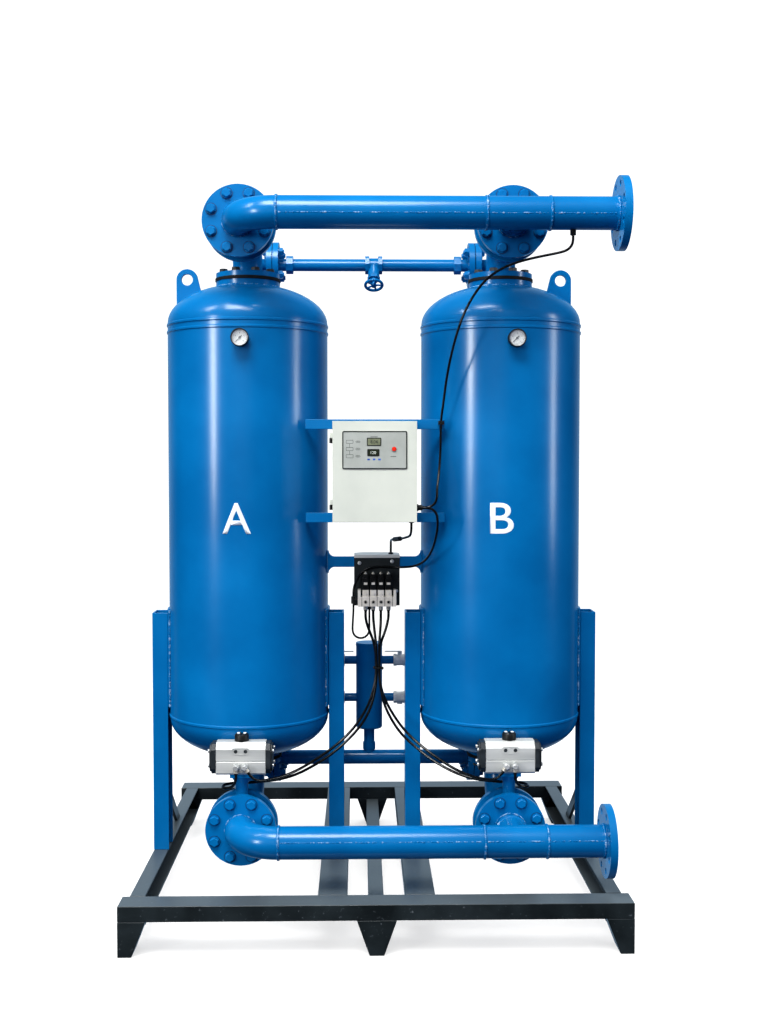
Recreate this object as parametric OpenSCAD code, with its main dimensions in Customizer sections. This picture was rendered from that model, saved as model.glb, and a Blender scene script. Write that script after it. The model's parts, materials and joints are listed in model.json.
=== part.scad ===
// Twin-tower desiccant air dryer on a steel skid.
// Origin on the floor under the middle of the skid, +Z up, front towards -Y, millimetres.

/* [Skid] */
// Width of the skid along its front and rear beams
skid_w = 1380; // [1370:5:1600]
// Depth of the skid from front to rear
skid_d = 1272; // [1270:2:1500]
// Height of the feet under the beams
foot_h = 95; // [70:1:130]
// Web of the steel channels
channel_web = 80; // [70:1:90]
// Flange of the steel channels
channel_flange = 43; // [38:1:46]
// Wall of the steel channels
channel_wall = 5; // [4:0.5:7]
// Distance of the two middle rails from the centre line
mid_rail_x = 120; // [116:1:130]
// Width of the low centre rail
centre_rail_w = 43; // [30:1:60]
// Top and sole widths of a corner foot
corner_foot = [74, 37];
// Top and sole widths of a centre foot
centre_foot = [107, 39];
// Plate of the hollow feet
foot_plate = 8; // [4:1:12]

/* [Towers] */
// Distance of each tower axis from the centre line
tower_x = 382; // [378:1:388]
// Tower axis in front of the skid's middle
tower_y = -114; // [-120:1:-106]
// Outside diameter of the towers
tower_d = 480; // [470:1:486]
// Wall of the towers
tower_wall = 6; // [4:0.5:10]
// Height of the lower tangent line
shell_bottom = 545; // [540:1:560]
// Height of the upper tangent line
shell_top = 1730; // [1720:1:1750]
// Upper girth weld below the tangent line
seam_drop = 28; // [20:1:40]
// Spacing of the two upper girth welds
seam_gap = 21; // [12:1:25]
// Height of the weld beads over the plate
bead_h = 2.5; // [1:0.5:4]
// Diameter of the nozzle pads on the heads
pad_d = 190; // [180:1:200]
// Rise of the upper nozzle pads over the head's apex
pad_rise = 10; // [6:1:16]
// Rise of the lower nozzle pads over the head's apex
low_pad_rise = 2; // [1:0.5:4]
// Lifting lug: hole distance from the tower axis
lug_x = 182; // [170:1:190]
// Lifting lug: hole height over the upper tangent line
lug_z = 134; // [128:1:145]
// Lifting lug: radius of the round head
lug_r = 32; // [28:1:36]
// Lifting lug: hole diameter
lug_hole = 34; // [24:1:40]
// Lifting lug: plate thickness
lug_t = 16; // [10:1:22]

/* [Legs] */
// Height of the leg tops
leg_top = 861; // [840:1:870]
// Thickness of the curved pads between legs and shell
leg_pad_t = 6; // [4:1:8]
// Half width of the curved pads
leg_pad_half = 55; // [46:1:70]
// Lower and upper ends of the curved pads
leg_pad_z = [579, 874];
// Brace height on the leg and its foot on the side rail
brace = [348, 210];
// Brace bar width and thickness
brace_bar = [34, 10];

/* [Main piping] */
// Outside diameter of the main pipe
pipe_d = 89; // [84:1:94]
// Wall of the main pipe
pipe_wall = 4; // [3:0.5:6]
// Rise of the outlet header over the upper nozzle faces
outlet_rise = 125; // [120:1:140]
// Drop of the inlet header under the lower nozzle faces
inlet_drop = 148; // [143:1:155]
// Header axis in front of the skid's middle
header_y = -534; // [-535:1:-524]
// Centre radius of the header elbows
elbow_r = 114; // [110:1:118]
// Centre radius of the tower elbows
riser_r = 100; // [98:1:104]
// Half length of a tee's run
tee_half = 86; // [80:1:92]
// Outside diameter of the main flanges
flange_d = 200; // [196:1:204]
// Thickness of the main flanges
flange_t = 20; // [18:1:22]
// Bolt circle of the main flanges
flange_pcd = 160; // [158:1:162]
// Bolt hole diameter of the main flanges
flange_hole = 18; // [17.5:0.5:19]
// Outlet flange face from the centre line
outlet_end = 671; // [640:1:680]
// Inlet flange face from the centre line
inlet_end = 645; // [630:1:680]
// Length of the check valves between their flanges
check_len = 56; // [50:1:60]
// Length of the butterfly valves between their flanges
butterfly_len = 46; // [44:1:52]
// Diameter of the wafer valve bodies
wafer_d = 142; // [136:1:143]
// Thickness of the flange gaskets
gasket_t = 3; // [1:0.5:4]
// Nozzle flange thickness and bolt circle
nozzle_flange_t = 18; // [16:1:20]
// Bolt circle of the nozzle flanges
nozzle_pcd = 150; // [146:1:154]
// Bolt shank diameter
bolt_d = 16; // [14:1:17]

/* [Small piping] */
// Depth of the purge and exhaust lines behind the skid's middle
line_y = 60; // [58:1:66]
// Rise of the purge line over the upper nozzle faces
purge_rise = 77; // [72:1:84]
// Outside diameter of the purge line
purge_d = 38; // [34:1:42]
// Purge flange diameter
purge_flange_d = 140; // [132:1:144]
// Drop of the exhaust line under the lower nozzle faces
exhaust_drop = 54; // [54:1:63]
// Outside diameter of the exhaust line
exhaust_d = 45; // [42:1:48]
// Exhaust flange diameter
exhaust_flange_d = 150; // [144:1:152]
// Centre radius of the small elbows
small_r = 46; // [44:1:48]
// Thickness of the small flanges
small_flange_t = 18; // [14:1:20]
// Wall of the small pipes
small_wall = 3; // [2:0.5:4]
// Silencer axis from the centre line
silencer_x = -15; // [-20:1:-10]
// Silencer diameter
silencer_d = 84; // [76:1:88]
// Silencer lower and upper ends
silencer_z = [465, 739];
// Heights of the lower and upper branch pipes
branch_z = [562, 682];
// Diameter of the branch pipes
branch_d = 26; // [22:1:30]
// Branch valve inner face from the silencer axis
branch_valve_x = 78; // [74:1:82]
// Length of a branch valve
branch_valve_len = 40; // [36:1:44]
// Length of a branch lever
lever_len = 48; // [40:1:52]
// Purge handwheel diameter
wheel_d = 62; // [50:1:70]
// Purge handwheel distance from the line's axis
wheel_reach = 78; // [74:1:90]
// Turn of the purge valve's bonnet from straight up to the front and down
bonnet_tilt = 150; // [135:1:170]

/* [Inlet valves] */
// Underside of the actuators over the inlet header
actuator_rise = 157; // [155:1:159]
// Height of the actuators
actuator_h = 90; // [84:1:92]
// Depth of the actuators
actuator_d = 72; // [66:1:74]
// Length of an actuator body without its caps
actuator_len = 140; // [130:1:150]
// Length of an actuator end cap
cap_len = 19; // [15:1:22]
// Diameter of a valve stem
stem_d = 14; // [12:0.5:16]
// Diameter of a position indicator
knob_d = 40; // [34:1:46]
// Height of a position indicator
knob_h = 22; // [16:1:26]
// Neck diameter and mounting pad width of the butterfly valves
valve_neck = [36, 62];
// Lean of the inner air fittings towards the middle
port_lean = 37; // [30:1:40]
// Running clearance round stems and pins
run_gap = 0.05; // [0.03:0.01:0.1]

/* [Control box] */
// Middle of the box from the centre line
box_x = -3; // [-8:1:3]
// Width of the box
box_w = 236; // [220:1:250]
// Height of the box
box_h = 282; // [270:1:290]
// Depth of the box behind its door
box_d = 106; // [90:1:112]
// Depth of the door
door_d = 24; // [20:1:26]
// Underside of the box
box_z = 1148; // [1142:1:1155]
// Sheet of the box and door
box_sheet = 2; // [1.5:0.5:3]
// Front face of the two brackets
bracket_y = -300; // [-304:1:-298]
// Height and depth of the bracket angle
bracket_size = 28; // [24:1:29]
// Wall of the bracket angle
bracket_wall = 3; // [2:0.5:4]
// Underside of the lower and upper bracket
bracket_z = [1141, 1411];
// Control panel width and height
panel_size = [181, 106];
// Control panel centre height over the box's underside
panel_z = 201; // [196:1:205]
// Thickness of the control panel
panel_t = 1.5; // [1:0.5:2]
// Red button diameter
button_d = 12; // [10:1:14]
// Red button centre from the panel's centre
button_at = [54, 3];
// Hinge pin distance outside the box
hinge_out = 5; // [4.5:0.5:7]
// Hinge heights over the box's underside
hinge_z = [48, 235];
// Margins of the mounting plate inside the box, across and up
plate_margin = [40, 50];
// Timer module width, depth and height
timer_size = [120, 45, 90];
// Terminal rail width, depth and height
terminal_size = [160, 30, 40];
// Depths of the two side glands
gland_y = [-345, -385];
// Height of the side glands over the box's underside
gland_rise = 38; // [34:1:44]
// Length of the side glands
gland_len = 18; // [16:1:22]

/* [Solenoid valves] */
// Height of the tie bar's axis
tie_z = 1014; // [1006:1:1022]
// Height of the tie bar
tie_h = 32; // [26:1:36]
// Front face of the tie bar
tie_y = -144; // [-148:1:-140]
// Thickness of the tie bar
tie_t = 8; // [6:1:10]
// Flare of the tie bar's welded ends
tie_flare = 18; // [14:1:20]
// Hood middle from the centre line
hood_x = 7; // [0:1:12]
// Hood width, height and depth
hood_size = [138, 150, 110];
// Sheet of the hood
hood_sheet = 2; // [1.5:0.5:3]
// Manifold width, depth and height
manifold_size = [116, 40, 50];
// Underside of the manifold
manifold_z = 882; // [876:1:890]
// Solenoid coil width, depth and height
coil_size = [19, 34, 46];

/* [Gauges] */
// Height of the pressure gauges
gauge_z = 1666; // [1650:1:1680]
// Sideways shift of each gauge from its tower's front
gauge_shift = [0, 18];
// Diameter of the gauge cases
gauge_d = 51; // [46:1:56]
// Depth of the gauge cases
gauge_case = 26; // [22:1:32]
// Length of the gauge stems
gauge_stem = 12; // [8:1:18]

/* [Hidden] */
$fn = 48;
seat = 0.1;
tower_r = tower_d / 2;
head_h = tower_d / 4;
beam_top = foot_h + channel_flange;
rail_len = skid_d - 2 * channel_web;
pipe_r = pipe_d / 2;
pipe_bore = pipe_r - pipe_wall;
top_face = shell_top + head_h + pad_rise;
bottom_face = shell_bottom - head_h - low_pad_rise;
outlet_z = top_face + outlet_rise;
inlet_z = bottom_face - inlet_drop;
purge_z = top_face + purge_rise;
exhaust_z = bottom_face - exhaust_drop;
actuator_z = inlet_z + actuator_rise;
front_face = header_y + elbow_r;
front_back = front_face + flange_t;
leg_in = tower_r + leg_pad_t;
leg_out = leg_in + channel_flange;
line_off = line_y - tower_y;
small_face = small_r + small_flange_t;
small_gasket = 2;
tee_step = 0.6;
line_face = tower_x - small_face - small_gasket;
box_left = box_x - box_w / 2;
box_right = box_x + box_w / 2;
door_back = bracket_y - box_d - 0.5;
door_front = door_back - door_d;
hinge_x = box_left - hinge_out;
hinge_y = bracket_y - box_d;
hood_front = tie_y - hood_sheet;
valve_y = front_back + butterfly_len / 2;
actuator_top = actuator_z + actuator_h;
actuator_front = valve_y - actuator_d / 2;
port_dx = 12;
port_z = actuator_z + 24;
port_reach = 14;
port_drop = 16;
port_r = 6.5;
tube_d = 8;
cable_d = 7;
loop_d = 6;
lever_z = 26;
cord_gap = 0.3;
gland_x = box_right + gland_len;
gland_z = box_z + gland_rise;

// Lean of an actuator's air fitting and a point on its axis, so far outside its mouth
function port_tilt(side, dx) = side * dx < 0 ? side * port_lean : 0;
function port_at(side, dx, out) = let (a = port_tilt(side, dx), drop = port_drop + out)
    [side * tower_x + dx - drop * sin(a), actuator_front - port_reach, port_z - drop * cos(a)];

// Cord routes, chosen along the photographed runs
air_tube_a1_route = [[-27.5, -166, 870], [-27.5, -166, 852], [-24, -167, 830], [-14, -168, 802],
    [-4, -169, 774], [2, -170, 744], [3.5, -172, 710], [3, -175, 674], [-3, -180, 636], [-15, -187, 598],
    [-36, -198, 558], [-66, -212, 519], [-102, -231, 486], [-142, -256, 460], [-184, -285, 439],
    [-228, -322, 422], [-268, -359.5, 414], [-290, -380, 412.8], [-306.6, -395.6, 413.5],
    [-325, -412.6, 415.5], [-335, -420.5, 418.5], [-344.7, -425.3, 424.6], port_at(-1, port_dx, 12),
    port_at(-1, port_dx, 0)];
air_tube_a2_route = [[-4.5, -166, 870], [-4.5, -166, 852], [-3, -168, 830], [0, -173, 802],
    [3, -178, 774], [4.5, -180.5, 744], [5, -182, 710], [5, -185, 672], [1, -188, 634], [-8, -194, 594],
    [-28, -202, 549], [-59, -214, 509], [-97, -232, 475], [-138, -255, 447], [-184, -282, 424],
    [-234, -310, 406], [-290, -333, 397], [-346, -343, 394], [-376, -345.5, 393], [-400, -346, 392.5],
    [-418, -350.8, 392], [-431.2, -364, 392], [-436, -382, 392], [-432.5, -399, 392.6],
    [-423.1, -410, 394.2], [-409, -418.2, 399], [-398.2, -424.6, 411], port_at(-1, -port_dx, 12),
    port_at(-1, -port_dx, 0)];
air_tube_b1_route = [[41.5, -166, 870], [41.5, -166, 852], [38, -167, 830], [30, -168, 802],
    [20, -169, 774], [15, -170, 744], [13.5, -172, 710], [14, -175, 674], [20, -181, 634], [35, -188, 594],
    [57, -199, 556], [87, -214, 517], [122, -234, 485], [160, -260, 459], [200, -292, 437],
    [238, -326, 421], [272, -360, 414], [290, -380, 412.8], [306.6, -395.6, 413.5], [325, -412.6, 415.5],
    [335, -420.5, 418.5], [344.7, -425.3, 424.6], port_at(1, -port_dx, 12), port_at(1, -port_dx, 0)];
air_tube_b2_route = [[18.5, -166, 870], [18.5, -166, 852], [18, -168, 830], [16, -173, 802],
    [14, -178, 774], [13.5, -180.5, 744], [13.5, -182, 710], [14, -185, 672], [19, -190, 632],
    [28, -196, 592], [50, -205, 545], [80, -219, 504], [117, -237, 472], [157, -261, 444], [202, -288, 421],
    [250, -314, 404], [302, -334, 395], [350, -343, 392], [376, -345.5, 391], [400, -346, 390.5],
    [418, -350.8, 390], [431.2, -364, 390], [436, -382, 390.5], [432.5, -399, 392],
    [423.1, -410, 394.2], [409, -418.2, 399], [398.2, -424.6, 411], port_at(1, port_dx, 12),
    port_at(1, port_dx, 0)];
sensor_cable_route = [[530, -534, 1926], [530, -534, 1914], [526, -533, 1899], [515, -528, 1888],
    [500, -522, 1883], [470, -510, 1878], [430, -492, 1872], [388, -474, 1863], [345, -457, 1847],
    [306, -443, 1820], [272, -431, 1778], [244, -419, 1724], [222, -401, 1655], [208, -375, 1590],
    [199, -347, 1525], [194, -327, 1476], [190, -312, 1437], [189, -308.5, 1396], [188.5, -306.5, 1360],
    [187, -309, 1325], [184, -318, 1292], [180, -331, 1262], [177, -341, 1238],
    [gland_x + 43, gland_y[0], gland_z + 30], [gland_x + 39, gland_y[0], gland_z + 15],
    [gland_x + 28, gland_y[0], gland_z + 4], [gland_x + 13, gland_y[0], gland_z],
    [gland_x, gland_y[0], gland_z]];
valve_cable_route = [[gland_x, gland_y[1], gland_z], [gland_x + 12, gland_y[1], gland_z],
    [gland_x + 27, gland_y[1], gland_z - 4], [gland_x + 38, gland_y[1], gland_z - 15],
    [gland_x + 42, gland_y[1] + 2, gland_z - 30], [176, -377, 1136], [174, -362, 1109], [169, -336, 1080],
    [161, -303, 1053], [149, -265, 1030], [130, -223, 1012], [101, -184, 1001.5], [64, -159, 998.5],
    [22, -152, 999], [-12, -152, 996], [-38, -154, 982], [-55, -160, 958], [-63, -165, 934],
    [-64, -166, 921], [-64, -166, 911]];
hood_cable_route = [[104, -320, box_z - 8], [104, -320, box_z - 16], [103.5, -315.7, box_z - 32],
    [101.5, -304, box_z - 43.5], [98, -290, 1099.5], [92, -272, 1096], [84, -250, 1092], [75, -226, 1089],
    [66, -202, 1086.5], [59, -179, 1084], [54, -157, 1082], [51.5, -138, 1080], [50, -124, 1075.7],
    [50, -112.3, 1064], [50, -108, 1048], [50, -108, 1040]];
loop_cable_route = [[-64, -166, 889], [-64, -166, 876], [-64.4, -166, 862], [-65.4, -165.5, 845],
    [-66.3, -165, 827], [-66.5, -164, 809], [-63.2, -163, 796.5], [-54, -162, 787.3], [-41.5, -160, 784],
    [-29, -158, 787.3], [-19.8, -156.5, 796.5], [-16.5, -155, 809], [-16, -154, 831], [-16, -153, 852],
    [-16, -153, 870]];

paint_blue = [0.03, 0.38, 0.68];
paint_black = [0.12, 0.14, 0.15];
steel = [0.72, 0.73, 0.72];

// A copy at each tower: tower a on the left, tower b mirrored on the right
module at_towers() {
    translate([-tower_x, tower_y, 0]) children();
    translate([tower_x, tower_y, 0]) mirror([1, 0, 0]) children();
}

// Steel channel lying flat along X, web up, top face at z = 0
module flat_channel(length, web) {
    difference() {
        translate([-length / 2, -web / 2, -channel_flange]) cube([length, web, channel_flange]);
        translate([-length / 2 - 1, -web / 2 + channel_wall, -channel_flange - 1])
            cube([length + 2, web - 2 * channel_wall, channel_flange - channel_wall + 1]);
    }
}

module skid_cross_beams() {
    color(paint_black)
        for (side = [-1, 1])
            translate([0, side * (skid_d - channel_web) / 2, beam_top]) flat_channel(skid_w, channel_web);
}

// Upright channels along Y under the outer legs, web outwards
module skid_side_rails() {
    color(paint_black)
        for (side = [-1, 1])
            translate([side * (tower_x + leg_out), 0, beam_top - channel_web]) difference() {
                translate([side > 0 ? -channel_flange : 0, -rail_len / 2, 0])
                    cube([channel_flange, rail_len, channel_web]);
                translate([side > 0 ? -channel_flange - 1 : channel_wall, -rail_len / 2 - 1, channel_wall])
                    cube([channel_flange - channel_wall + 1, rail_len + 2, channel_web - 2 * channel_wall]);
            }
}

module skid_middle_rails() {
    color(paint_black)
        for (side = [-1, 1])
            translate([side * mid_rail_x, 0, beam_top]) rotate([0, 0, 90]) flat_channel(rail_len,
                channel_web);
}

module skid_centre_rail() {
    color(paint_black)
        translate([0, 0, foot_h]) rotate([0, 0, 90]) flat_channel(rail_len, centre_rail_w);
}

// Hollow folded foot: straight from its outline at the sole to its outline at the beam
module foot(sole, top) {
    outline = [[sole[0], 0], [sole[1], 0], [top[1], foot_h], [top[0], foot_h]];
    cavity = [[sole[0] + foot_plate, foot_plate], [sole[1] - foot_plate, foot_plate],
        [top[1] - foot_plate, foot_h + 1], [top[0] + foot_plate, foot_h + 1]];
    rotate([90, 0, 0]) difference() {
        linear_extrude(channel_web, center = true) polygon(outline);
        linear_extrude(channel_web - 2 * foot_plate, center = true) polygon(cavity);
    }
}

module skid_feet() {
    half = skid_w / 2;
    color(paint_black)
        for (side = [-1, 1]) translate([0, side * (skid_d - channel_web) / 2, 0]) {
            foot([-half, -half + corner_foot[1]], [-half, -half + corner_foot[0]]);
            foot([half - corner_foot[1], half], [half - corner_foot[0], half]);
            foot([-centre_foot[1] / 2, centre_foot[1] / 2], [-centre_foot[0] / 2, centre_foot[0] / 2]);
        }
}

// Upright channel at a tower, open towards the shell and cut to sit on its curved pad
module leg(side) {
    difference() {
        translate([side > 0 ? tower_r : -leg_out, -channel_web / 2, beam_top])
            cube([leg_out - tower_r, channel_web, leg_top - beam_top]);
        translate([side > 0 ? tower_r - 1 : -leg_out + channel_wall, -channel_web / 2 + channel_wall,
            beam_top - 1])
            cube([leg_out - tower_r - channel_wall + 1, channel_web - 2 * channel_wall, leg_top - beam_top
                + 2]);
        translate([0, 0, beam_top - 1]) cylinder(r = leg_in + seat, h = leg_top - beam_top + 2, $fn = 96);
    }
}

module outer_legs() {
    color(paint_blue) at_towers() leg(-1);
}

module inner_legs() {
    color(paint_blue) at_towers() leg(1);
}

module leg_pads() {
    color(paint_blue) at_towers() for (side = [-1, 1]) intersection() {
        translate([0, 0, leg_pad_z[0]]) difference() {
            cylinder(r = leg_in, h = leg_pad_z[1] - leg_pad_z[0], $fn = 96);
            translate([0, 0, -1]) cylinder(r = tower_r + seat, h = leg_pad_z[1] - leg_pad_z[0] + 2, $fn =
                96);
        }
        translate([side > 0 ? 0 : -leg_in - 1, -leg_pad_half, 0]) cube([leg_in + 1, 2 * leg_pad_half,
            leg_top * 2]);
    }
}

// Raking bars from the outer legs back to the side rails
module leg_braces() {
    back = tower_y + channel_web / 2;
    mid = tower_x + (leg_in + leg_out) / 2;
    run = brace[1] - back;
    rise = brace[0] - beam_top;
    slope = norm([run, rise]);
    color(paint_black)
        for (side = [-1, 1])
            translate([side * mid - brace_bar[1] / 2, 0, 0]) rotate([90, 0, 90])
                linear_extrude(brace_bar[1])
                polygon([[back, brace[0]], [back, brace[0] - brace_bar[0] * slope / run],
                    [brace[1] - brace_bar[0] * slope / rise, beam_top], [brace[1], beam_top]]);
}

// Ellipse of a dished head from its rim to its apex
function head_arc(r, h, z, up) = [for (i = [0:14]) let (a = i * 90 / 14) [i == 14 ? 0 : r * cos(a), z + up
    * h * sin(a)]];
function flip(v) = [for (i = [len(v) - 1:-1:0]) v[i]];
function head_z(x) = shell_top + head_h * sqrt(1 - pow(x / tower_r, 2));
function bead(z) = [[tower_r, z - 2 * bead_h], [tower_r + bead_h, z - bead_h], [tower_r + bead_h, z +
    bead_h],
    [tower_r, z + 2 * bead_h]];

module tower_shell() {
    seam = shell_top - seam_drop;
    outside = concat(flip(head_arc(tower_r, head_h, shell_bottom, -1)), bead(shell_bottom + 3 * bead_h),
        bead(seam), bead(seam + seam_gap), head_arc(tower_r, head_h, shell_top, 1));
    inside = concat(flip(head_arc(tower_r - tower_wall, head_h - tower_wall, shell_bottom, -1)),
        head_arc(tower_r - tower_wall, head_h - tower_wall, shell_top, 1));
    rotate_extrude($fn = 96) polygon(concat(outside, flip(inside)));
}

// Nozzle pad welded on a head, its face at z = 0 and its body below
module nozzle_pad(rise) {
    drop = rise + head_h * (1 - sqrt(1 - pow(pad_d / 2 / tower_r, 2))) + tower_wall / 2;
    translate([0, 0, -drop]) cylinder(d = pad_d, h = drop, $fn = 64);
}

module bolt_ring(pcd, count, turn) {
    for (i = [0:count - 1]) rotate([0, 0, turn + i * 360 / count]) translate([pcd / 2, 0, 0]) children();
}

module tower() {
    tapped = 14;
    color(paint_blue) difference() {
        union() {
            tower_shell();
            translate([0, 0, top_face]) nozzle_pad(pad_rise);
            translate([0, 0, bottom_face]) mirror([0, 0, 1]) nozzle_pad(low_pad_rise);
        }
        translate([0, 0, top_face - 60]) cylinder(r = pipe_bore, h = 61);
        translate([0, 0, bottom_face - 1]) cylinder(r = pipe_bore, h = 61);
        translate([0, 0, top_face - tapped]) bolt_ring(nozzle_pcd, 8, 22.5) cylinder(d = bolt_d + 2 * seat,
            h = tapped + 1);
        translate([0, 0, bottom_face - 1]) bolt_ring(nozzle_pcd, 8, 22.5) cylinder(d = bolt_d + 2 * seat, h
            = tapped + 1);
    }
}

module tower_a() {
    translate([-tower_x, tower_y, 0]) tower();
}

module tower_b() {
    translate([tower_x, tower_y, 0]) tower();
}

// Upright plate on the outer shoulder of a head, with a round eye
module lifting_lugs() {
    top = shell_top + lug_z;
    lean = 165;
    inner = [lug_x + lug_r * cos(lean), top + lug_r * sin(lean)];
    foot_in = lug_x - 1.3 * lug_r;
    steps = 6;
    color(paint_blue) at_towers() mirror([1, 0, 0]) rotate([90, 0, 0]) linear_extrude(lug_t, center = true)
        difference() {
        union() {
            translate([lug_x, top]) circle(lug_r);
            polygon(concat([[lug_x + lug_r, top], inner],
                [for (i = [0:steps]) let (x = foot_in + i * (lug_x + lug_r - foot_in) / steps) [x,
                    head_z(x) + 3 * seat]]));
        }
        translate([lug_x, top]) circle(d = lug_hole);
    }
}

module desiccant_beds() {
    color([0.9, 0.88, 0.8]) at_towers()
        translate([0, 0, shell_bottom + 15]) cylinder(r = tower_r - tower_wall - seat, h = shell_top -
            shell_bottom - 30, $fn = 96);
}

// Perforated plates that hold the bed at both ends
module bed_screens() {
    plate = 5;
    color(steel) at_towers() for (z = [shell_bottom + 15 - plate, shell_top - 15]) translate([0, 0, z])
        difference() {
        cylinder(r = tower_r - tower_wall - seat, h = plate, $fn = 96);
        for (ring = [1:3]) bolt_ring(ring * 0.52 * tower_r, 6 * ring, 0) translate([0, 0, -1]) cylinder(d =
            22, h = plate + 2);
    }
}

// Flange disc with its holes, from z = 0 up, bored by the caller
module flange(d, t, pcd, count, hole) {
    difference() {
        cylinder(d = d, h = t, $fn = 64);
        translate([0, 0, -1]) bolt_ring(pcd, count, 180 / count) cylinder(d = hole, h = t + 2, $fn = 24);
    }
}

// Weld bead round a pipe of radius r
module weld_bead(r) {
    rotate_extrude() polygon([[r - 1.5, -2 * bead_h], [r + bead_h, -bead_h], [r + bead_h, bead_h], [r -
        1.5, 2 * bead_h]]);
}

// A run of pipe: the header's elbow, its straight run and the tee's branch, at radius r
module header_run(r, length) {
    translate([-tower_x + elbow_r, front_face, 0]) rotate([0, 0, 180]) rotate_extrude(angle = 90)
        translate([elbow_r, 0]) circle(r);
    translate([-tower_x + elbow_r, header_y, 0]) rotate([0, 90, 0]) cylinder(r = r, h = length);
    translate([tower_x, header_y, 0]) rotate([-90, 0, 0]) cylinder(r = r - tee_step, h = elbow_r);
}

// Main header: elbow at tower a, tee at tower b and a loose end flange on the right
module header(end) {
    run = end + tower_x - elbow_r;
    joints = [-tower_x + elbow_r, tower_x - tee_half, tower_x + tee_half];
    color(paint_blue) difference() {
        union() {
            header_run(pipe_r, run - flange_t / 2);
            for (side = [-1, 1]) translate([side * tower_x, front_back, 0]) rotate([90, 0, 0])
                flange(flange_d, flange_t, flange_pcd, 8, flange_hole);
            translate([end - flange_t, header_y, 0]) rotate([0, 90, 0]) flange(flange_d, flange_t,
                flange_pcd, 8, flange_hole);
            for (x = joints) translate([x, header_y, 0]) rotate([0, 90, 0]) weld_bead(pipe_r);
            translate([end - flange_t - 3, header_y, 0]) rotate([0, 90, 0]) weld_bead(pipe_r);
            translate([tower_x, header_y + tee_half, 0]) rotate([90, 0, 0]) weld_bead(pipe_r);
        }
        header_run(pipe_bore, run + 1);
        for (side = [-1, 1]) translate([side * tower_x, front_back + 1, 0]) rotate([90, 0, 0])
            cylinder(r = pipe_bore, h = flange_t + 1);
    }
}

module outlet_header() {
    translate([0, 0, outlet_z]) header(outlet_end);
}

module inlet_header() {
    translate([0, 0, inlet_z]) header(inlet_end);
}

// Bent pipe from a nozzle to the main valve, with its side branch to a small line, at a reduction of cut
module riser_run(cut, rise, rear, branch_r, branch_h, over) {
    translate([0, 0, gasket_t - over]) cylinder(r = pipe_r - cut, h = rise - riser_r - gasket_t + over);
    translate([0, -riser_r, rise - riser_r]) rotate([90, 0, 90]) rotate_extrude(angle = 90)
        translate([riser_r, 0]) rotate(180) circle(pipe_r - cut);
    translate([0, rear - over, rise]) rotate([-90, 0, 0]) cylinder(r = pipe_r - cut, h = -riser_r - rear +
        over);
    translate([0, 0, branch_h]) {
        rotate([-90, 0, 0]) cylinder(r = branch_r, h = line_off - small_r);
        translate([small_r, line_off - small_r, 0]) rotate([0, 0, 90]) rotate_extrude(angle = 90)
            translate([small_r, 0]) circle(branch_r);
        translate([small_r, line_off, 0]) rotate([0, 90, 0]) cylinder(r = branch_r, h = small_flange_t +
            over);
    }
}

// Flanged elbow over a nozzle: local z = 0 at the nozzle face, forwards along -Y, small line behind
module riser(rise, valve_len, branch_d, branch_flange, branch_h) {
    rear = front_back + valve_len - tower_y;
    difference() {
        union() {
            riser_run(0, rise, rear, branch_d / 2, branch_h, 0);
            translate([0, 0, gasket_t]) flange(pad_d, nozzle_flange_t, nozzle_pcd, 8, bolt_d + 2);
            translate([0, rear + flange_t, rise]) rotate([90, 0, 0]) flange(flange_d, flange_t, flange_pcd,
                8, flange_hole);
            translate([small_r, line_off, branch_h]) rotate([0, 90, 0])
                flange(branch_flange, small_flange_t, branch_flange - 40, 4, flange_hole);
            translate([0, -riser_r, rise]) rotate([90, 0, 0]) weld_bead(pipe_r);
        }
        riser_run(pipe_wall, rise, rear, branch_d / 2 - small_wall, branch_h, 1);
    }
}

module top_risers() {
    color(paint_blue) at_towers() translate([0, 0, top_face])
        riser(outlet_z - top_face, check_len, purge_d, purge_flange_d, purge_z - top_face);
}

module bottom_risers() {
    color(paint_blue) at_towers() translate([0, 0, bottom_face]) mirror([0, 0, 1])
        riser(bottom_face - inlet_z, butterfly_len, exhaust_d, exhaust_flange_d, bottom_face - exhaust_z);
}

module ring(d, bore, t) {
    difference() {
        cylinder(d = d, h = t, $fn = 64);
        translate([0, 0, -1]) cylinder(d = bore, h = t + 2);
    }
}

module nozzle_gasket() {
    difference() {
        ring(pad_d, 2 * pipe_bore, gasket_t);
        translate([0, 0, -1]) bolt_ring(nozzle_pcd, 8, 22.5) cylinder(d = bolt_d + 2, h = gasket_t + 2, $fn
            = 24);
    }
}

module flange_gaskets() {
    color([0.08, 0.08, 0.08]) at_towers() {
        translate([0, 0, top_face]) nozzle_gasket();
        translate([0, 0, bottom_face - gasket_t]) nozzle_gasket();
        for (line = [[purge_z, purge_d, purge_flange_d], [exhaust_z, exhaust_d, exhaust_flange_d]])
            translate([small_face, line_off, line[0]]) rotate([0, 90, 0])
                ring(line[2] - 40 - flange_hole - 2, line[1] - 2 * small_wall, small_gasket);
    }
}

// Closed wafer check valves between the top flanges
module check_valves() {
    recess = 14;
    color(paint_black) at_towers() translate([0, front_back + check_len - tower_y, outlet_z]) rotate([90,
        0, 0]) difference() {
        cylinder(d = wafer_d, h = check_len, $fn = 64);
        translate([0, 0, -1]) cylinder(r = pipe_bore, h = recess + 1);
        translate([0, 0, check_len - recess]) cylinder(r = pipe_bore, h = recess + 1);
    }
}

// Hex bolt along +Z: head under z = 0, nut over the grip
module bolt(grip, tail) {
    head = 0.62 * bolt_d;
    translate([0, 0, -head]) cylinder(d = 1.75 * bolt_d, h = head, $fn = 6);
    cylinder(d = bolt_d, h = grip + tail, $fn = 24);
    translate([0, 0, grip]) cylinder(d = 1.75 * bolt_d, h = tail * 0.8, $fn = 6);
}

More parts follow.
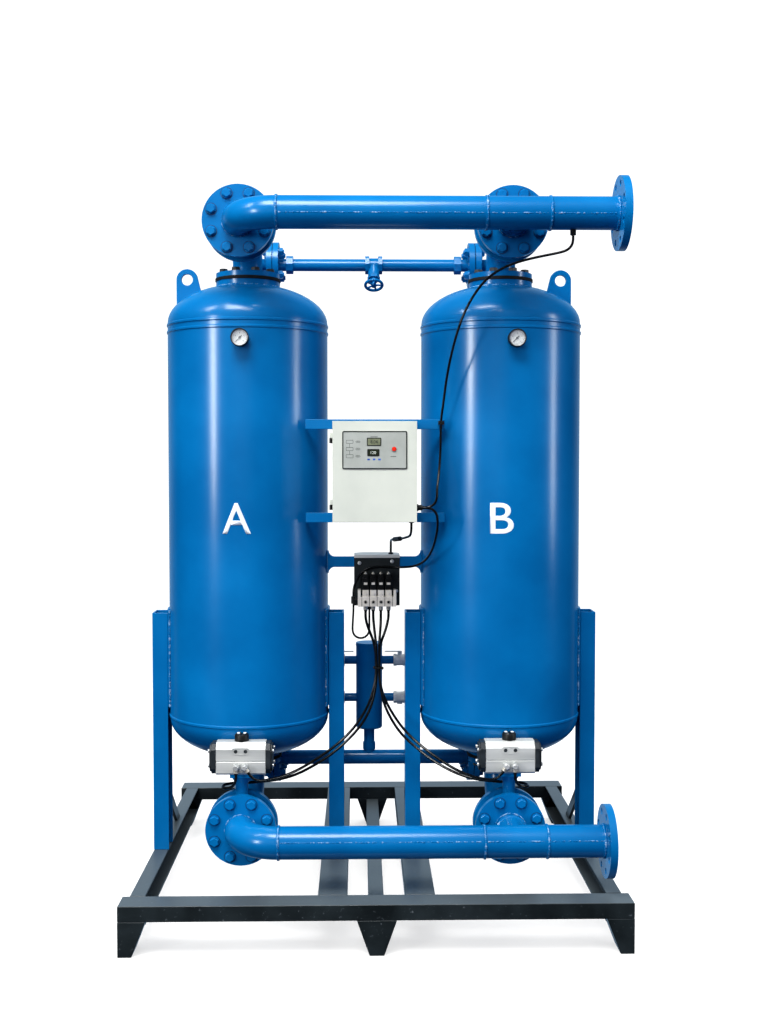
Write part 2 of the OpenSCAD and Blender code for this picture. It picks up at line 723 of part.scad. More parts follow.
module flange_bolts() {
    small_grip = 2 * small_flange_t + small_gasket;
    tail = 14;
    pad_reach = nozzle_flange_t + gasket_t + 12;
    color(steel) at_towers() {
        for (row = [[outlet_z, check_len], [inlet_z, butterfly_len]])
            translate([0, front_face - tower_y, row[0]]) rotate([-90, 0, 0]) bolt_ring(flange_pcd, 8, 22.5)
                bolt(2 * flange_t + row[1], tail);
        for (line = [[purge_z, purge_flange_d], [exhaust_z, exhaust_flange_d]])
            translate([small_r, line_off, line[0]]) rotate([0, 90, 0]) bolt_ring(line[1] - 40, 4, 45)
                bolt(small_grip, tail);
        translate([0, 0, top_face + gasket_t + nozzle_flange_t]) mirror([0, 0, 1]) bolt_ring(nozzle_pcd, 8,
            22.5) pad_screw(pad_reach);
        translate([0, 0, bottom_face - gasket_t - nozzle_flange_t]) bolt_ring(nozzle_pcd, 8, 22.5)
            pad_screw(pad_reach);
    }
}

// Screw from a nozzle flange into a tapped pad, its head under z = 0
module pad_screw(reach) {
    head = 0.62 * bolt_d;
    translate([0, 0, -head]) cylinder(d = 1.75 * bolt_d, h = head, $fn = 6);
    cylinder(d = bolt_d, h = reach, $fn = 24);
}

// Purge line halves with their flanges and union nuts
module purge_pipes() {
    valve_half = 27;
    nut = 22;
    color(paint_blue) for (side = [-1, 1]) translate([0, line_y, purge_z]) mirror([side > 0 ? 0 : 1, 0, 0])
        difference() {
        union() {
            translate([valve_half, 0, 0]) rotate([0, 90, 0]) cylinder(d = purge_d, h = line_face -
                valve_half);
            translate([line_face - small_flange_t, 0, 0]) rotate([0, 90, 0])
                flange(purge_flange_d, small_flange_t, purge_flange_d - 40, 4, flange_hole);
            translate([line_face - small_flange_t - 2 * nut, 0, 0]) rotate([0, 90, 0]) cylinder(d = 1.5 *
                purge_d, h = nut, $fn = 8);
        }
        translate([valve_half - 1, 0, 0]) rotate([0, 90, 0]) cylinder(r = purge_d / 2 - small_wall, h =
            line_face - valve_half + 2);
    }
}

// Screwed globe valve with its bonnet down and forwards
module purge_valve() {
    valve_half = 27;
    hex = 13;
    bonnet = 62;
    color(paint_blue) translate([0, line_y, purge_z]) difference() {
        union() {
            rotate([0, 90, 0]) cylinder(d = 1.15 * purge_d, h = 2 * valve_half, center = true);
            for (side = [-1, 1]) translate([side * (valve_half - hex / 2), 0, 0]) rotate([0, 90, 0])
                cylinder(d = 1.5 * purge_d, h = hex, center = true, $fn = 8);
            rotate([bonnet_tilt, 0, 0]) {
                cylinder(d = 0.95 * purge_d, h = bonnet - 16);
                translate([0, 0, bonnet - 16]) cylinder(d = 1.05 * purge_d, h = 10, $fn = 6);
                translate([0, 0, bonnet - 6]) cylinder(d = 0.6 * purge_d, h = 6);
            }
        }
        rotate([bonnet_tilt, 0, 0]) translate([0, 0, bonnet - 24])
            cylinder(r = 4 + run_gap, h = 25, $fn = 24);
        for (side = [-1, 1]) translate([side * (valve_half - 8), 0, 0]) rotate([0, 90, 0])
            cylinder(r = purge_d / 2 - small_wall, h = 18, center = true);
    }
}

// Handwheel with five spokes on its stem
module purge_handwheel() {
    rim = 4.5;
    bottom = 40;
    color(paint_blue) translate([0, line_y, purge_z]) rotate([bonnet_tilt, 0, 0]) {
        translate([0, 0, bottom]) cylinder(r = 4, h = wheel_reach + 6 - bottom, $fn = 24);
        translate([0, 0, wheel_reach - 5]) cylinder(r = 8, h = 10, $fn = 24);
        translate([0, 0, wheel_reach]) {
            rotate_extrude() translate([wheel_d / 2 - rim, 0]) circle(rim, $fn = 24);
            for (i = [0:4]) rotate([0, 0, i * 72]) rotate([0, 90, 0])
                cylinder(r = 3, h = wheel_d / 2 - rim, $fn = 16);
        }
    }
}

// Exhaust cross pipe with a standing neck for the silencer
module exhaust_header() {
    neck = 34;
    color(paint_blue) translate([0, line_y, exhaust_z]) difference() {
        union() {
            rotate([0, 90, 0]) cylinder(d = exhaust_d, h = 2 * line_face, center = true);
            for (side = [-1, 1]) mirror([side > 0 ? 0 : 1, 0, 0]) translate([line_face - small_flange_t, 0,
                0])
                rotate([0, 90, 0]) flange(exhaust_flange_d, small_flange_t, exhaust_flange_d - 40, 4,
                    flange_hole);
            for (side = [-1, 1]) translate([side * (line_face - 2 * small_flange_t), 0, 0]) rotate([0, 90,
                0])
                cylinder(d = exhaust_d + 6, h = 12, center = true);
            translate([silencer_x, 0, 0]) {
                cylinder(d = neck, h = silencer_z[0] - exhaust_z);
                translate([0, 0, exhaust_d / 2 + 4]) cylinder(d = neck + 6, h = 22);
            }
        }
        rotate([0, 90, 0]) cylinder(d = exhaust_d - 2 * small_wall, h = 2 * line_face + 2, center = true);
        translate([silencer_x, 0, 0]) cylinder(d = neck - 2 * small_wall, h = silencer_z[0] - exhaust_z +
            1);
    }
}

module silencer() {
    height = silencer_z[1] - silencer_z[0];
    color(paint_blue) translate([silencer_x, line_y, silencer_z[0]]) difference() {
        union() {
            cylinder(d1 = silencer_d - 6, d2 = silencer_d, h = 4);
            translate([0, 0, 4]) cylinder(d = silencer_d, h = height - 4, $fn = 64);
            translate([0, 0, height - 10]) cylinder(d = silencer_d + 2, h = 6, $fn = 64);
        }
        translate([0, 0, 3]) cylinder(d = silencer_d - 2 * small_wall, h = height - 7);
        translate([0, 0, -1]) cylinder(d = 28, h = 6);
    }
}

// Short pipes from the silencer to the branch valves and on to the shells
module branch_pipes() {
    outer = branch_valve_x + branch_valve_len;
    color(paint_blue) difference() {
        for (side = [-1, 1], z = branch_z) translate([silencer_x, line_y, z]) mirror([side > 0 ? 0 : 1, 0,
            0]) rotate([0, 90, 0]) {
            cylinder(d = branch_d, h = branch_valve_x);
            translate([0, 0, outer]) cylinder(d = branch_d, h = tower_x - outer + abs(silencer_x));
        }
        translate([silencer_x, line_y, silencer_z[0]]) cylinder(d = silencer_d + 2 * seat, h =
            silencer_z[1] - silencer_z[0], $fn = 64);
        for (side = [-1, 1]) translate([side * tower_x, tower_y, 0]) {
            cylinder(r = tower_r + 3 * seat, h = shell_top, $fn = 96);
            cylinder(r = tower_r + bead_h + 3 * seat, h = shell_bottom + 5 * bead_h + 3 * seat, $fn = 96);
        }
    }
}

// Screwed ball valves: the upper pair with a stem, the lower pair plain
module branch_valves() {
    mid = branch_valve_x + branch_valve_len / 2;
    color(steel) for (side = [-1, 1], z = branch_z) translate([silencer_x + side * mid, line_y, z])
        difference() {
        union() {
            rotate([0, 90, 0]) cylinder(d = 1.35 * branch_d, h = branch_valve_len - 4, center = true);
            for (end = [-1, 1]) translate([end * (branch_valve_len / 2 - 5), 0, 0]) rotate([0, 90, 0])
                cylinder(d = 1.5 * branch_d, h = 10, center = true, $fn = 6);
            if (z == branch_z[1]) cylinder(d = 14, h = lever_z - 1);
            else rotate([180, 0, 0]) cylinder(d = 18, h = lever_z - 4, $fn = 6);
        }
        if (z == branch_z[1]) cylinder(r = 3 + run_gap, h = lever_z + 1, $fn = 24);
    }
}

// Flat lever on its stem, pointing at the silencer while the valve is open
module branch_lever(side) {
    mid = branch_valve_x + branch_valve_len / 2;
    color(steel) translate([silencer_x + side * mid, line_y, branch_z[1]]) {
        cylinder(r = 3, h = lever_z + 2, $fn = 24);
        translate([0, 0, lever_z]) mirror([side > 0 ? 0 : 1, 0, 0]) {
            cylinder(d = 14, h = 3);
            translate([-lever_len, -5, 0]) cube([lever_len, 10, 3]);
        }
    }
}

module branch_lever_a() {
    branch_lever(-1);
}

module branch_lever_b() {
    branch_lever(1);
}

// Wafer butterfly bodies with a neck and a mounting pad for the actuator
module inlet_valves() {
    flare = 22;
    plate = 10;
    color(paint_blue) at_towers() translate([0, valve_y - tower_y, 0]) difference() {
        union() {
            translate([0, 0, inlet_z]) rotate([90, 0, 0]) cylinder(d = wafer_d, h = butterfly_len, center =
                true, $fn = 64);
            translate([0, 0, inlet_z]) cylinder(d = valve_neck[0], h = actuator_rise - plate - flare);
            translate([0, 0, actuator_z - plate - flare]) cylinder(d1 = valve_neck[0], d2 = valve_neck[1],
                h = flare);
            translate([0, 0, actuator_z - plate / 2]) cube([valve_neck[1], valve_neck[1], plate],
                center = true);
        }
        translate([0, 0, inlet_z]) rotate([90, 0, 0]) cylinder(r = pipe_bore, h = butterfly_len + 2, center
            = true, $fn = 64);
        translate([0, 0, inlet_z - wafer_d / 2 + 6]) cylinder(r = stem_d / 2 + run_gap, h = actuator_z, $fn
            = 32);
    }
}

// Disc, stem and position indicator that turn together
module valve_spindle() {
    disc_r = pipe_bore - 0.9;
    low = inlet_z - wafer_d / 2 + 8;
    color(paint_black) translate([0, valve_y - tower_y, 0]) {
        translate([0, 0, inlet_z]) rotate([90, 0, 0]) cylinder(r = disc_r, h = 8, center = true, $fn = 64);
        translate([0, 0, low]) cylinder(d = stem_d, h = actuator_top + 4 - low, $fn = 32);
        translate([0, 0, actuator_top + 0.4]) difference() {
            union() {
                cylinder(d = knob_d, h = knob_h - 6, $fn = 48);
                translate([0, 0, knob_h - 6]) cylinder(d1 = knob_d, d2 = knob_d - 8, h = 6, $fn = 48);
            }
            translate([-3, -knob_d, knob_h - 4]) cube([6, 2 * knob_d, 5]);
        }
    }
}

module valve_spindle_a() {
    translate([-tower_x, tower_y, 0]) valve_spindle();
}

module valve_spindle_b() {
    translate([tower_x, tower_y, 0]) valve_spindle();
}

// Outline of the actuator across its length: chamfered top, waist groove, small lower chamfers
function actuator_outline(w, h) = let (c = 18, b = 5, g = 2, m = h * 0.42) [[-w / 2 + b, 0], [w / 2 - b,
    0], [w / 2, b],
    [w / 2, m - g], [w / 2 - g, m], [w / 2, m + g], [w / 2, h - c], [w / 2 - c, h], [-w / 2 + c, h], [-w /
        2, h - c],
    [-w / 2, m + g], [-w / 2 + g, m], [-w / 2, m - g], [-w / 2, b]];

module actuator_bodies() {
    plug = 11;
    color([0.8, 0.81, 0.79]) at_towers() translate([0, valve_y - tower_y, actuator_z]) difference() {
        rotate([90, 0, 90]) linear_extrude(actuator_len, center = true)
            polygon(actuator_outline(actuator_d, actuator_h));
        translate([0, 0, -1]) cylinder(r = stem_d / 2 + run_gap, h = actuator_h + 2, $fn = 32);
        for (x = [-14, 14]) translate([x, -actuator_d / 2 + 1.5, actuator_h * 0.74]) rotate([90, 0, 0])
            cylinder(d = plug, h = 3, $fn = 24);
    }
}

module actuator_caps() {
    lip = 5;
    color(paint_black) at_towers() translate([0, valve_y - tower_y, actuator_z]) for (side = [-1, 1])
        translate([side * (actuator_len / 2), 0, 0]) mirror([side > 0 ? 0 : 1, 0, 0]) rotate([90, 0, 90]) {
            linear_extrude(cap_len - lip) cap_outline(0);
            translate([0, 0, cap_len - lip]) linear_extrude(lip) cap_outline(5);
        }
}

module cap_outline(trim) {
    w = actuator_d / 2 + 2 - trim;
    c = 16;
    low = trim + 1;
    high = actuator_h - 3 - trim;
    polygon([[-w + c, low], [w - c, low], [w, low + c], [w, high - c], [w - c, high], [-w + c, high], [-w,
        high - c], [-w, low + c]]);
}

// Place of a gauge: its axis on the shell's front, with z = 0 at the shell and the dial towards -Y
module at_gauge(i) {
    shift = gauge_shift[i];
    touch = sqrt(pow(tower_r, 2) - pow(max(abs(shift) - 7, 0), 2));
    translate([(i == 0 ? -tower_x : tower_x) + shift, tower_y - touch, gauge_z]) rotate([90, 0, 0])
        children();
}

module gauge_cases() {
    wall = 2.5;
    color([0.1, 0.1, 0.1]) for (i = [0, 1]) at_gauge(i) difference() {
        union() {
            cylinder(r = 7, h = gauge_stem);
            translate([0, 0, gauge_stem * 0.3]) cylinder(d = 20, h = gauge_stem * 0.5, $fn = 6);
            translate([0, 0, gauge_stem]) cylinder(d = gauge_d, h = gauge_case);
        }
        translate([0, 0, gauge_stem + 12]) cylinder(d = gauge_d - 2 * wall, h = gauge_case, $fn = 48);
        translate([0, 0, gauge_stem + 4]) cylinder(r = 1.5 + run_gap, h = 10, $fn = 16);
    }
}

// Needle on its spindle, resting at the low stop
module gauge_pointer(i) {
    color([0.1, 0.1, 0.1]) at_gauge(i) translate([0, 0, gauge_stem]) rotate([0, 0, 45]) {
        translate([0, 0, 6]) cylinder(r = 1.5, h = 10, $fn = 16);
        translate([0, 0, 14]) {
            cylinder(r = 3.5, h = 2, $fn = 24);
            linear_extrude(1.2) polygon([[8, -1.6], [8, 1.6], [-gauge_d / 2 + 8, 0.4], [-gauge_d / 2 + 8,
                -0.4]]);
        }
    }
}

module gauge_pointer_a() {
    gauge_pointer(0);
}

module gauge_pointer_b() {
    gauge_pointer(1);
}

module gauge_glasses() {
    color([0.9, 0.95, 0.97, 0.4]) for (i = [0, 1]) at_gauge(i)
        translate([0, 0, gauge_stem + gauge_case - 4]) cylinder(d = gauge_d - 5 - 2 * seat, h = 2);
}

// Angle bars welded across the fronts of both shells
module box_brackets() {
    reach = bracket_size - bracket_wall;
    away = tower_y - (bracket_y + bracket_wall + reach);
    half = tower_x - sqrt(pow(tower_r, 2) - pow(away, 2)) - seat;
    color(paint_blue) for (z = bracket_z) translate([-half, bracket_y, z]) {
        cube([2 * half, bracket_wall, bracket_size]);
        cube([2 * half, bracket_size, bracket_wall]);
    }
}

// Sheet box open at the front
module control_box() {
    color([0.91, 0.92, 0.92]) difference() {
        translate([box_left, bracket_y - box_d, box_z]) cube([box_w, box_d, box_h]);
        translate([box_left + box_sheet, bracket_y - box_d - 1, box_z + box_sheet])
            cube([box_w - 2 * box_sheet, box_d - box_sheet + 1, box_h - 2 * box_sheet]);
    }
}

module button_hole() {
    translate([box_x + button_at[0], door_front - 5, box_z + panel_z + button_at[1]]) rotate([-90, 0, 0])
        cylinder(d = button_d + 0.7, h = 12, $fn = 32);
}

// Folded tray door with knuckles on its hinge side
module box_door() {
    knuckle = 14;
    color([0.91, 0.92, 0.92]) difference() {
        union() {
            difference() {
                translate([box_left, door_front, box_z]) cube([box_w, door_d, box_h]);
                translate([box_left + box_sheet, door_front + box_sheet, box_z + box_sheet])
                    cube([box_w - 2 * box_sheet, door_d, box_h - 2 * box_sheet]);
            }
            for (z = hinge_z) translate([hinge_x, hinge_y, box_z + z]) {
                cylinder(r = 4, h = knuckle, $fn = 32);
                translate([0, -door_d / 2, 0]) cube([hinge_out, door_d / 2 - 1, knuckle]);
            }
        }
        button_hole();
        for (z = hinge_z) translate([hinge_x, hinge_y, box_z + z - 1]) cylinder(r = 1.5 + run_gap, h =
            knuckle + 2, $fn = 24);
    }
}

// Fixed hinge leaves with their pins
module box_hinges() {
    knuckle = 14;
    gap = 0.5;
    color([0.08, 0.08, 0.08]) for (z = hinge_z) translate([hinge_x, hinge_y, box_z + z]) {
        translate([0, 0, -knuckle - gap]) {
            cylinder(r = 4, h = knuckle, $fn = 32);
            cylinder(r = 1.5, h = 2 * knuckle + gap, $fn = 24);
            translate([0, 0.5, 0]) cube([hinge_out - seat, 18, knuckle]);
        }
    }
}

// Membrane panel stuck on the door
module control_panel() {
    corner = 4;
    color([0.73, 0.74, 0.75]) translate([box_x, door_front, box_z + panel_z]) difference() {
        rotate([90, 0, 0]) linear_extrude(panel_t) union() {
            square([panel_size[0] - 2 * corner, panel_size[1]], center = true);
            square([panel_size[0], panel_size[1] - 2 * corner], center = true);
            for (x = [-1, 1], z = [-1, 1]) translate([x * (panel_size[0] / 2 - corner), z * (panel_size[1]
                / 2 - corner)]) circle(corner, $fn = 24);
        }
        translate([button_at[0], 1, button_at[1]]) rotate([90, 0, 0]) cylinder(d = button_d + 0.7, h =
            panel_t + 2, $fn = 32);
    }
}

// Push button through the door, kept by a collar inside
module red_button() {
    color([0.85, 0.12, 0.06]) translate([box_x + button_at[0], door_front - panel_t - 3.5, box_z + panel_z
        + button_at[1]]) rotate([-90, 0, 0]) {
        cylinder(d = button_d, h = 3.5 + panel_t + box_sheet + 0.3, $fn = 32);
        translate([0, 0, 3.5 + panel_t + box_sheet + 0.3]) cylinder(d = button_d + 5, h = 3, $fn = 32);
    }
}

// Mounting plate, timer module and terminal rail inside the box
module controller() {
    plate = [box_w - plate_margin[0], 2, box_h - plate_margin[1]];
    stand = 10;
    back = bracket_y - box_sheet;
    color([0.75, 0.76, 0.74]) translate([box_x, back - stand, box_z + box_h / 2]) {
        translate([-plate[0] / 2, -plate[1], -plate[2] / 2]) cube(plate);
        for (x = [-1, 1], z = [-1, 1]) translate([x * (plate[0] / 2 - 14), 0, z * (plate[2] / 2 - 14)])
            rotate([-90, 0, 0]) cylinder(r = 4, h = stand);
        translate([-timer_size[0] / 2, -plate[1] - timer_size[1], 10]) cube(timer_size);
        translate([-terminal_size[0] / 2, -plate[1] - terminal_size[1], -timer_size[2]])
            cube(terminal_size);
    }
}

// Plate between the towers, flared at both welded ends
module tie_bar() {
    half = tower_x - sqrt(pow(tower_r, 2) - pow(tower_y - tie_y - tie_t, 2)) - seat;
    color(paint_blue) translate([0, tie_y + tie_t, tie_z]) rotate([90, 0, 0]) linear_extrude(tie_t)
        difference() {
        square([2 * half, tie_h + 2 * tie_flare], center = true);
        for (z = [-1, 1]) {
            translate([0, z * (tie_h / 2 + tie_flare)])
                square([2 * (half - tie_flare - 4), 2 * tie_flare], center = true);
            for (x = [-1, 1]) translate([x * (half - tie_flare - 4), z * (tie_h / 2 + tie_flare)])
                circle(tie_flare);
        }
    }
}

// Folded black sheet: an upright plate with a round-backed roof over the tie bar
module valve_hood() {
    w = hood_size[0];
    back = tie_y + tie_t;
    top = tie_z + tie_h / 2 + 1;
    corner = 40;
    color([0.1, 0.11, 0.12]) {
        translate([hood_x - w / 2, hood_front, top - hood_size[1]]) cube([w, hood_sheet, hood_size[1]]);
        translate([hood_x, hood_front, top]) linear_extrude(hood_sheet) {
            translate([-w / 2, 0]) square([w, hood_size[2] - corner]);
            translate([-w / 2 + corner, 0]) square([w - 2 * corner, hood_size[2]]);
            for (x = [-1, 1]) translate([x * (w / 2 - corner), hood_size[2] - corner]) circle(corner);
        }
    }
}

// Cream valve island: base block with raised end plates and four valve bodies
module solenoid_manifold() {
    w = manifold_size[0];
    d = manifold_size[1];
    h = manifold_size[2];
    end = 9;
    color([0.9, 0.88, 0.84]) translate([hood_x - w / 2, hood_front - d, manifold_z]) {
        cube([w, d, h * 0.6]);
        for (x = [0, w - end]) translate([x, 0, 0]) cube([end, d, h]);
        for (i = [0:3]) translate([valve_at(i) - coil_size[0] / 2, 3, 0.6 * h]) cube([coil_size[0], d - 3,
            0.4 * h]);
    }
}

function valve_at(i) = manifold_size[0] / 2 + (i - 1.5) * (coil_size[0] + 4);

module solenoid_coils() {
    color([0.08, 0.09, 0.09]) for (i = [0:3])
        translate([hood_x - manifold_size[0] / 2 + valve_at(i) - coil_size[0] / 2, hood_front -
            coil_size[1] - 2, manifold_z + manifold_size[2]]) {
            cube([coil_size[0], coil_size[1], coil_size[2] * 0.75]);
            translate([2, 6, 0]) cube([coil_size[0] - 4, coil_size[1] - 6, coil_size[2]]);
        }
}

// Push-in fittings: elbows on the actuators and straight ones under the manifold
module air_fittings() {
    color(steel) {
        for (side = [-1, 1], x = [-port_dx, port_dx]) {
            translate([side * tower_x + x, actuator_front, port_z]) rotate([90, 0, 0])
                cylinder(r = port_r - 1.5, h = port_reach, $fn = 32);
            translate(port_at(side, x, -cord_gap)) rotate([0, port_tilt(side, x), 0])
                cylinder(r = port_r, h = port_drop - cord_gap + port_r, $fn = 32);
        }
        for (route = [air_tube_a1_route, air_tube_a2_route, air_tube_b1_route, air_tube_b2_route])
            translate(route[0] + [0, 0, cord_gap])
                cylinder(r = port_r, h = manifold_z - route[0][2] - cord_gap, $fn = 32);
    }
}

// Cable glands on the box, the hood and the pipe, and the plug at the manifold's end
module cable_glands() {
    lift = [0, 0, cord_gap];
    sensor = sensor_cable_route[0] + lift;
    hood = hood_cable_route[len(hood_cable_route) - 1];
    bottom = hood_cable_route[0] + lift;
    plug = loop_cable_route[0] + lift;
    plug_top = valve_cable_route[len(valve_cable_route) - 1];
    loop_end = loop_cable_route[len(loop_cable_route) - 1] + lift;
    roof = tie_z + tie_h / 2 + 1 + hood_sheet;
    color([0.06, 0.06, 0.06]) {
        for (y = gland_y) translate([box_right, y, gland_z]) rotate([0, 90, 0]) {
            cylinder(r = 10, h = gland_len / 3, $fn = 6);
            cylinder(r = 7, h = gland_len - cord_gap, $fn = 32);
        }
        translate(bottom) {
            cylinder(r = 7, h = box_z - bottom[2], $fn = 32);
            translate([0, 0, box_z - bottom[2] - 6]) cylinder(r = 10, h = 6, $fn = 6);
        }
        translate([hood[0], hood[1], roof]) cylinder(r1 = 9, r2 = 6, h = hood[2] - roof - cord_gap);
        difference() {
            translate(sensor) cylinder(r = 8, h = outlet_z - sensor[2], $fn = 6);
            translate([sensor[0], header_y, outlet_z]) rotate([0, 90, 0]) cylinder(r = pipe_r + seat, h =
                60, center = true);
        }
        translate([hood_x - manifold_size[0] / 2, plug[1], manifold_z + 18]) rotate([0, -90, 0])
            cylinder(r = 6, h = 13, $fn = 32);
        translate(plug) cylinder(r = 7, h = plug_top[2] - plug[2] - cord_gap, $fn = 32);
        translate(loop_end) cylinder(r = 5, h = manifold_z - loop_end[2], $fn = 32);
        translate([190, bracket_y - 12 + 6, bracket_z[1] + bracket_size - 6]) difference() {
            translate([-8, -12, -9]) cube([16, 18, 10]);
            translate([0, -6, -20]) cylinder(r = cable_d / 2 + 2, h = 40, $fn = 24);
        }
    }
}

// Round cord swept through its route's points
function unit(v) = v / norm(v);
function tangent(p, i) = unit(p[min(i + 1, len(p) - 1)] - p[max(i - 1, 0)]);
function side_of(t) = unit(cross(t, [0.31, 0.83, 0.46]));

module cord(p, d) {
    sides = 8;
    n = len(p);
    points = [for (i = [0:n - 1]) let (t = tangent(p, i), u = side_of(t), v = cross(t, u))
        for (k = [0:sides - 1]) p[i] + d / 2 * (cos(k * 360 / sides) * u + sin(k * 360 / sides) * v)];
    walls = [for (i = [0:n - 2], k = [0:sides - 1]) let (m = (k + 1) % sides)
        [i * sides + k, (i + 1) * sides + k, (i + 1) * sides + m, i * sides + m]];
    polyhedron(points, concat(walls, [[for (k = [0:sides - 1]) k]], [[for (k = [sides - 1:-1:0]) (n - 1) *
        sides + k]]));
}

module air_tube_a1() {
    color([0.05, 0.05, 0.05]) cord(air_tube_a1_route, tube_d);
}

module air_tube_a2() {
    color([0.05, 0.05, 0.05]) cord(air_tube_a2_route, tube_d);
}

module air_tube_b1() {
    color([0.05, 0.05, 0.05]) cord(air_tube_b1_route, tube_d);
}

module air_tube_b2() {
    color([0.05, 0.05, 0.05]) cord(air_tube_b2_route, tube_d);
}

module sensor_cable() {
    color([0.05, 0.05, 0.05]) cord(sensor_cable_route, cable_d);
}

module valve_cable() {
    color([0.05, 0.05, 0.05]) cord(valve_cable_route, cable_d);
}

module hood_cable() {
    color([0.05, 0.05, 0.05]) cord(hood_cable_route, cable_d);
}

module loop_cable() {
    color([0.05, 0.05, 0.05]) cord(loop_cable_route, loop_d);
}

skid_cross_beams();
skid_side_rails();
skid_middle_rails();
skid_centre_rail();
skid_feet();
outer_legs();
inner_legs();
leg_pads();
leg_braces();
tower_a();
tower_b();
lifting_lugs();
desiccant_beds();
bed_screens();
outlet_header();
inlet_header();
top_risers();
bottom_risers();
flange_gaskets();
check_valves();
flange_bolts();
purge_pipes();
purge_valve();
purge_handwheel();
exhaust_header();
silencer();
branch_pipes();
branch_valves();
branch_lever_a();
branch_lever_b();
inlet_valves();
valve_spindle_a();
valve_spindle_b();
actuator_bodies();
actuator_caps();
gauge_cases();
gauge_pointer_a();
gauge_pointer_b();
gauge_glasses();
box_brackets();
control_box();
box_door();
box_hinges();
control_panel();
red_button();
controller();
tie_bar();
valve_hood();
solenoid_manifold();
solenoid_coils();
air_fittings();
cable_glands();
air_tube_a1();
air_tube_a2();
air_tube_b1();
air_tube_b2();
sensor_cable();
valve_cable();
hood_cable();
loop_cable();
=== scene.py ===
import json
import math

import bmesh
import bpy
import numpy as np
from mathutils import Matrix, Vector

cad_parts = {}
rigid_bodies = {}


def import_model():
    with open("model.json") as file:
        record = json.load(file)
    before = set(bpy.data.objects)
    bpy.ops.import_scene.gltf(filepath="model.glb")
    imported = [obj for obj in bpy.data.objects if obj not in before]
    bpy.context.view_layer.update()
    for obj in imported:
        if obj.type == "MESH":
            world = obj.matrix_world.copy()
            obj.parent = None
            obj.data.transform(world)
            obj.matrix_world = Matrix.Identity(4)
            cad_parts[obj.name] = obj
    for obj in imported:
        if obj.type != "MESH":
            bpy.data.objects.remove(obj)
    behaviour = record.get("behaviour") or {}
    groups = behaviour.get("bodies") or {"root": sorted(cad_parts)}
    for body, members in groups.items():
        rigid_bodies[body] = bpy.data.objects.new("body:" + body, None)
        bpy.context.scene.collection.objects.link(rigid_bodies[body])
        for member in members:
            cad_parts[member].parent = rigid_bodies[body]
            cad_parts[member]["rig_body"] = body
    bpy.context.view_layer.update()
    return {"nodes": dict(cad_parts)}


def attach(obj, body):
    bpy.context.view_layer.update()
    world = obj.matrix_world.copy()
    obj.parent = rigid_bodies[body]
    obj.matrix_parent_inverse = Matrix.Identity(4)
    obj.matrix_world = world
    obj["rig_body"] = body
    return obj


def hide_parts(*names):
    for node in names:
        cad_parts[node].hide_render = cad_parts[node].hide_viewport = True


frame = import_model()
nodes = frame["nodes"]
scene = bpy.context.scene
mm = 0.001
forward = (0, -1, 0)
white = "#FFFFFF"
print("stage: frame loaded,", len(nodes), "nodes")


def hexColour(code):
    parts = [int(code[i:i + 2], 16) / 255 for i in (1, 3, 5)]
    linear = [c / 12.92 if c <= 0.04045 else ((c + 0.055) / 1.055) ** 2.4 for c in parts]
    return (*linear, 1.0)


# adds one node, sets its inputs or properties, and links what feeds it
def addNode(tree, kind, settings=None, links=None):
    node = tree.nodes.new(kind)
    for key, value in (settings or {}).items():
        if isinstance(key, int) or key in node.inputs:
            node.inputs[key].default_value = value
        else:
            setattr(node, key, value)
    for key, source in (links or {}).items():
        tree.links.new(source, node.inputs[key])
    return node


def perMetre(sizeMm):
    return 1000 / sizeMm


def addToScene(name, data):
    obj = bpy.data.objects.new(name, data)
    scene.collection.objects.link(obj)
    return obj


# a new material, its tree and its surface shader
def newMaterial(name):
    material = bpy.data.materials.new(name)
    material.use_nodes = True
    tree = material.node_tree
    return material, tree, tree.nodes["Principled BSDF"]


# what every finish has, unless its own row says otherwise
commonFinish = {"stretch": (1, 1, 1), "toneStops": (0.35, 0.68), "cloudDetail": 4.0, "fleckMm": 12,
                "fleckDetail": 6.0, "fleckRough": 0.7, "fleckFrom": 0.66, "fleckFull": 0.78,
                "fleckShare": 0.0, "dustFrom": 0.6, "dustFull": 0.95, "grainDetail": 2.0, "depthMm": 0.3,
                "metallic": 0.0, "ior": 1.5, "coat": 0.0, "coatRough": 0.08}


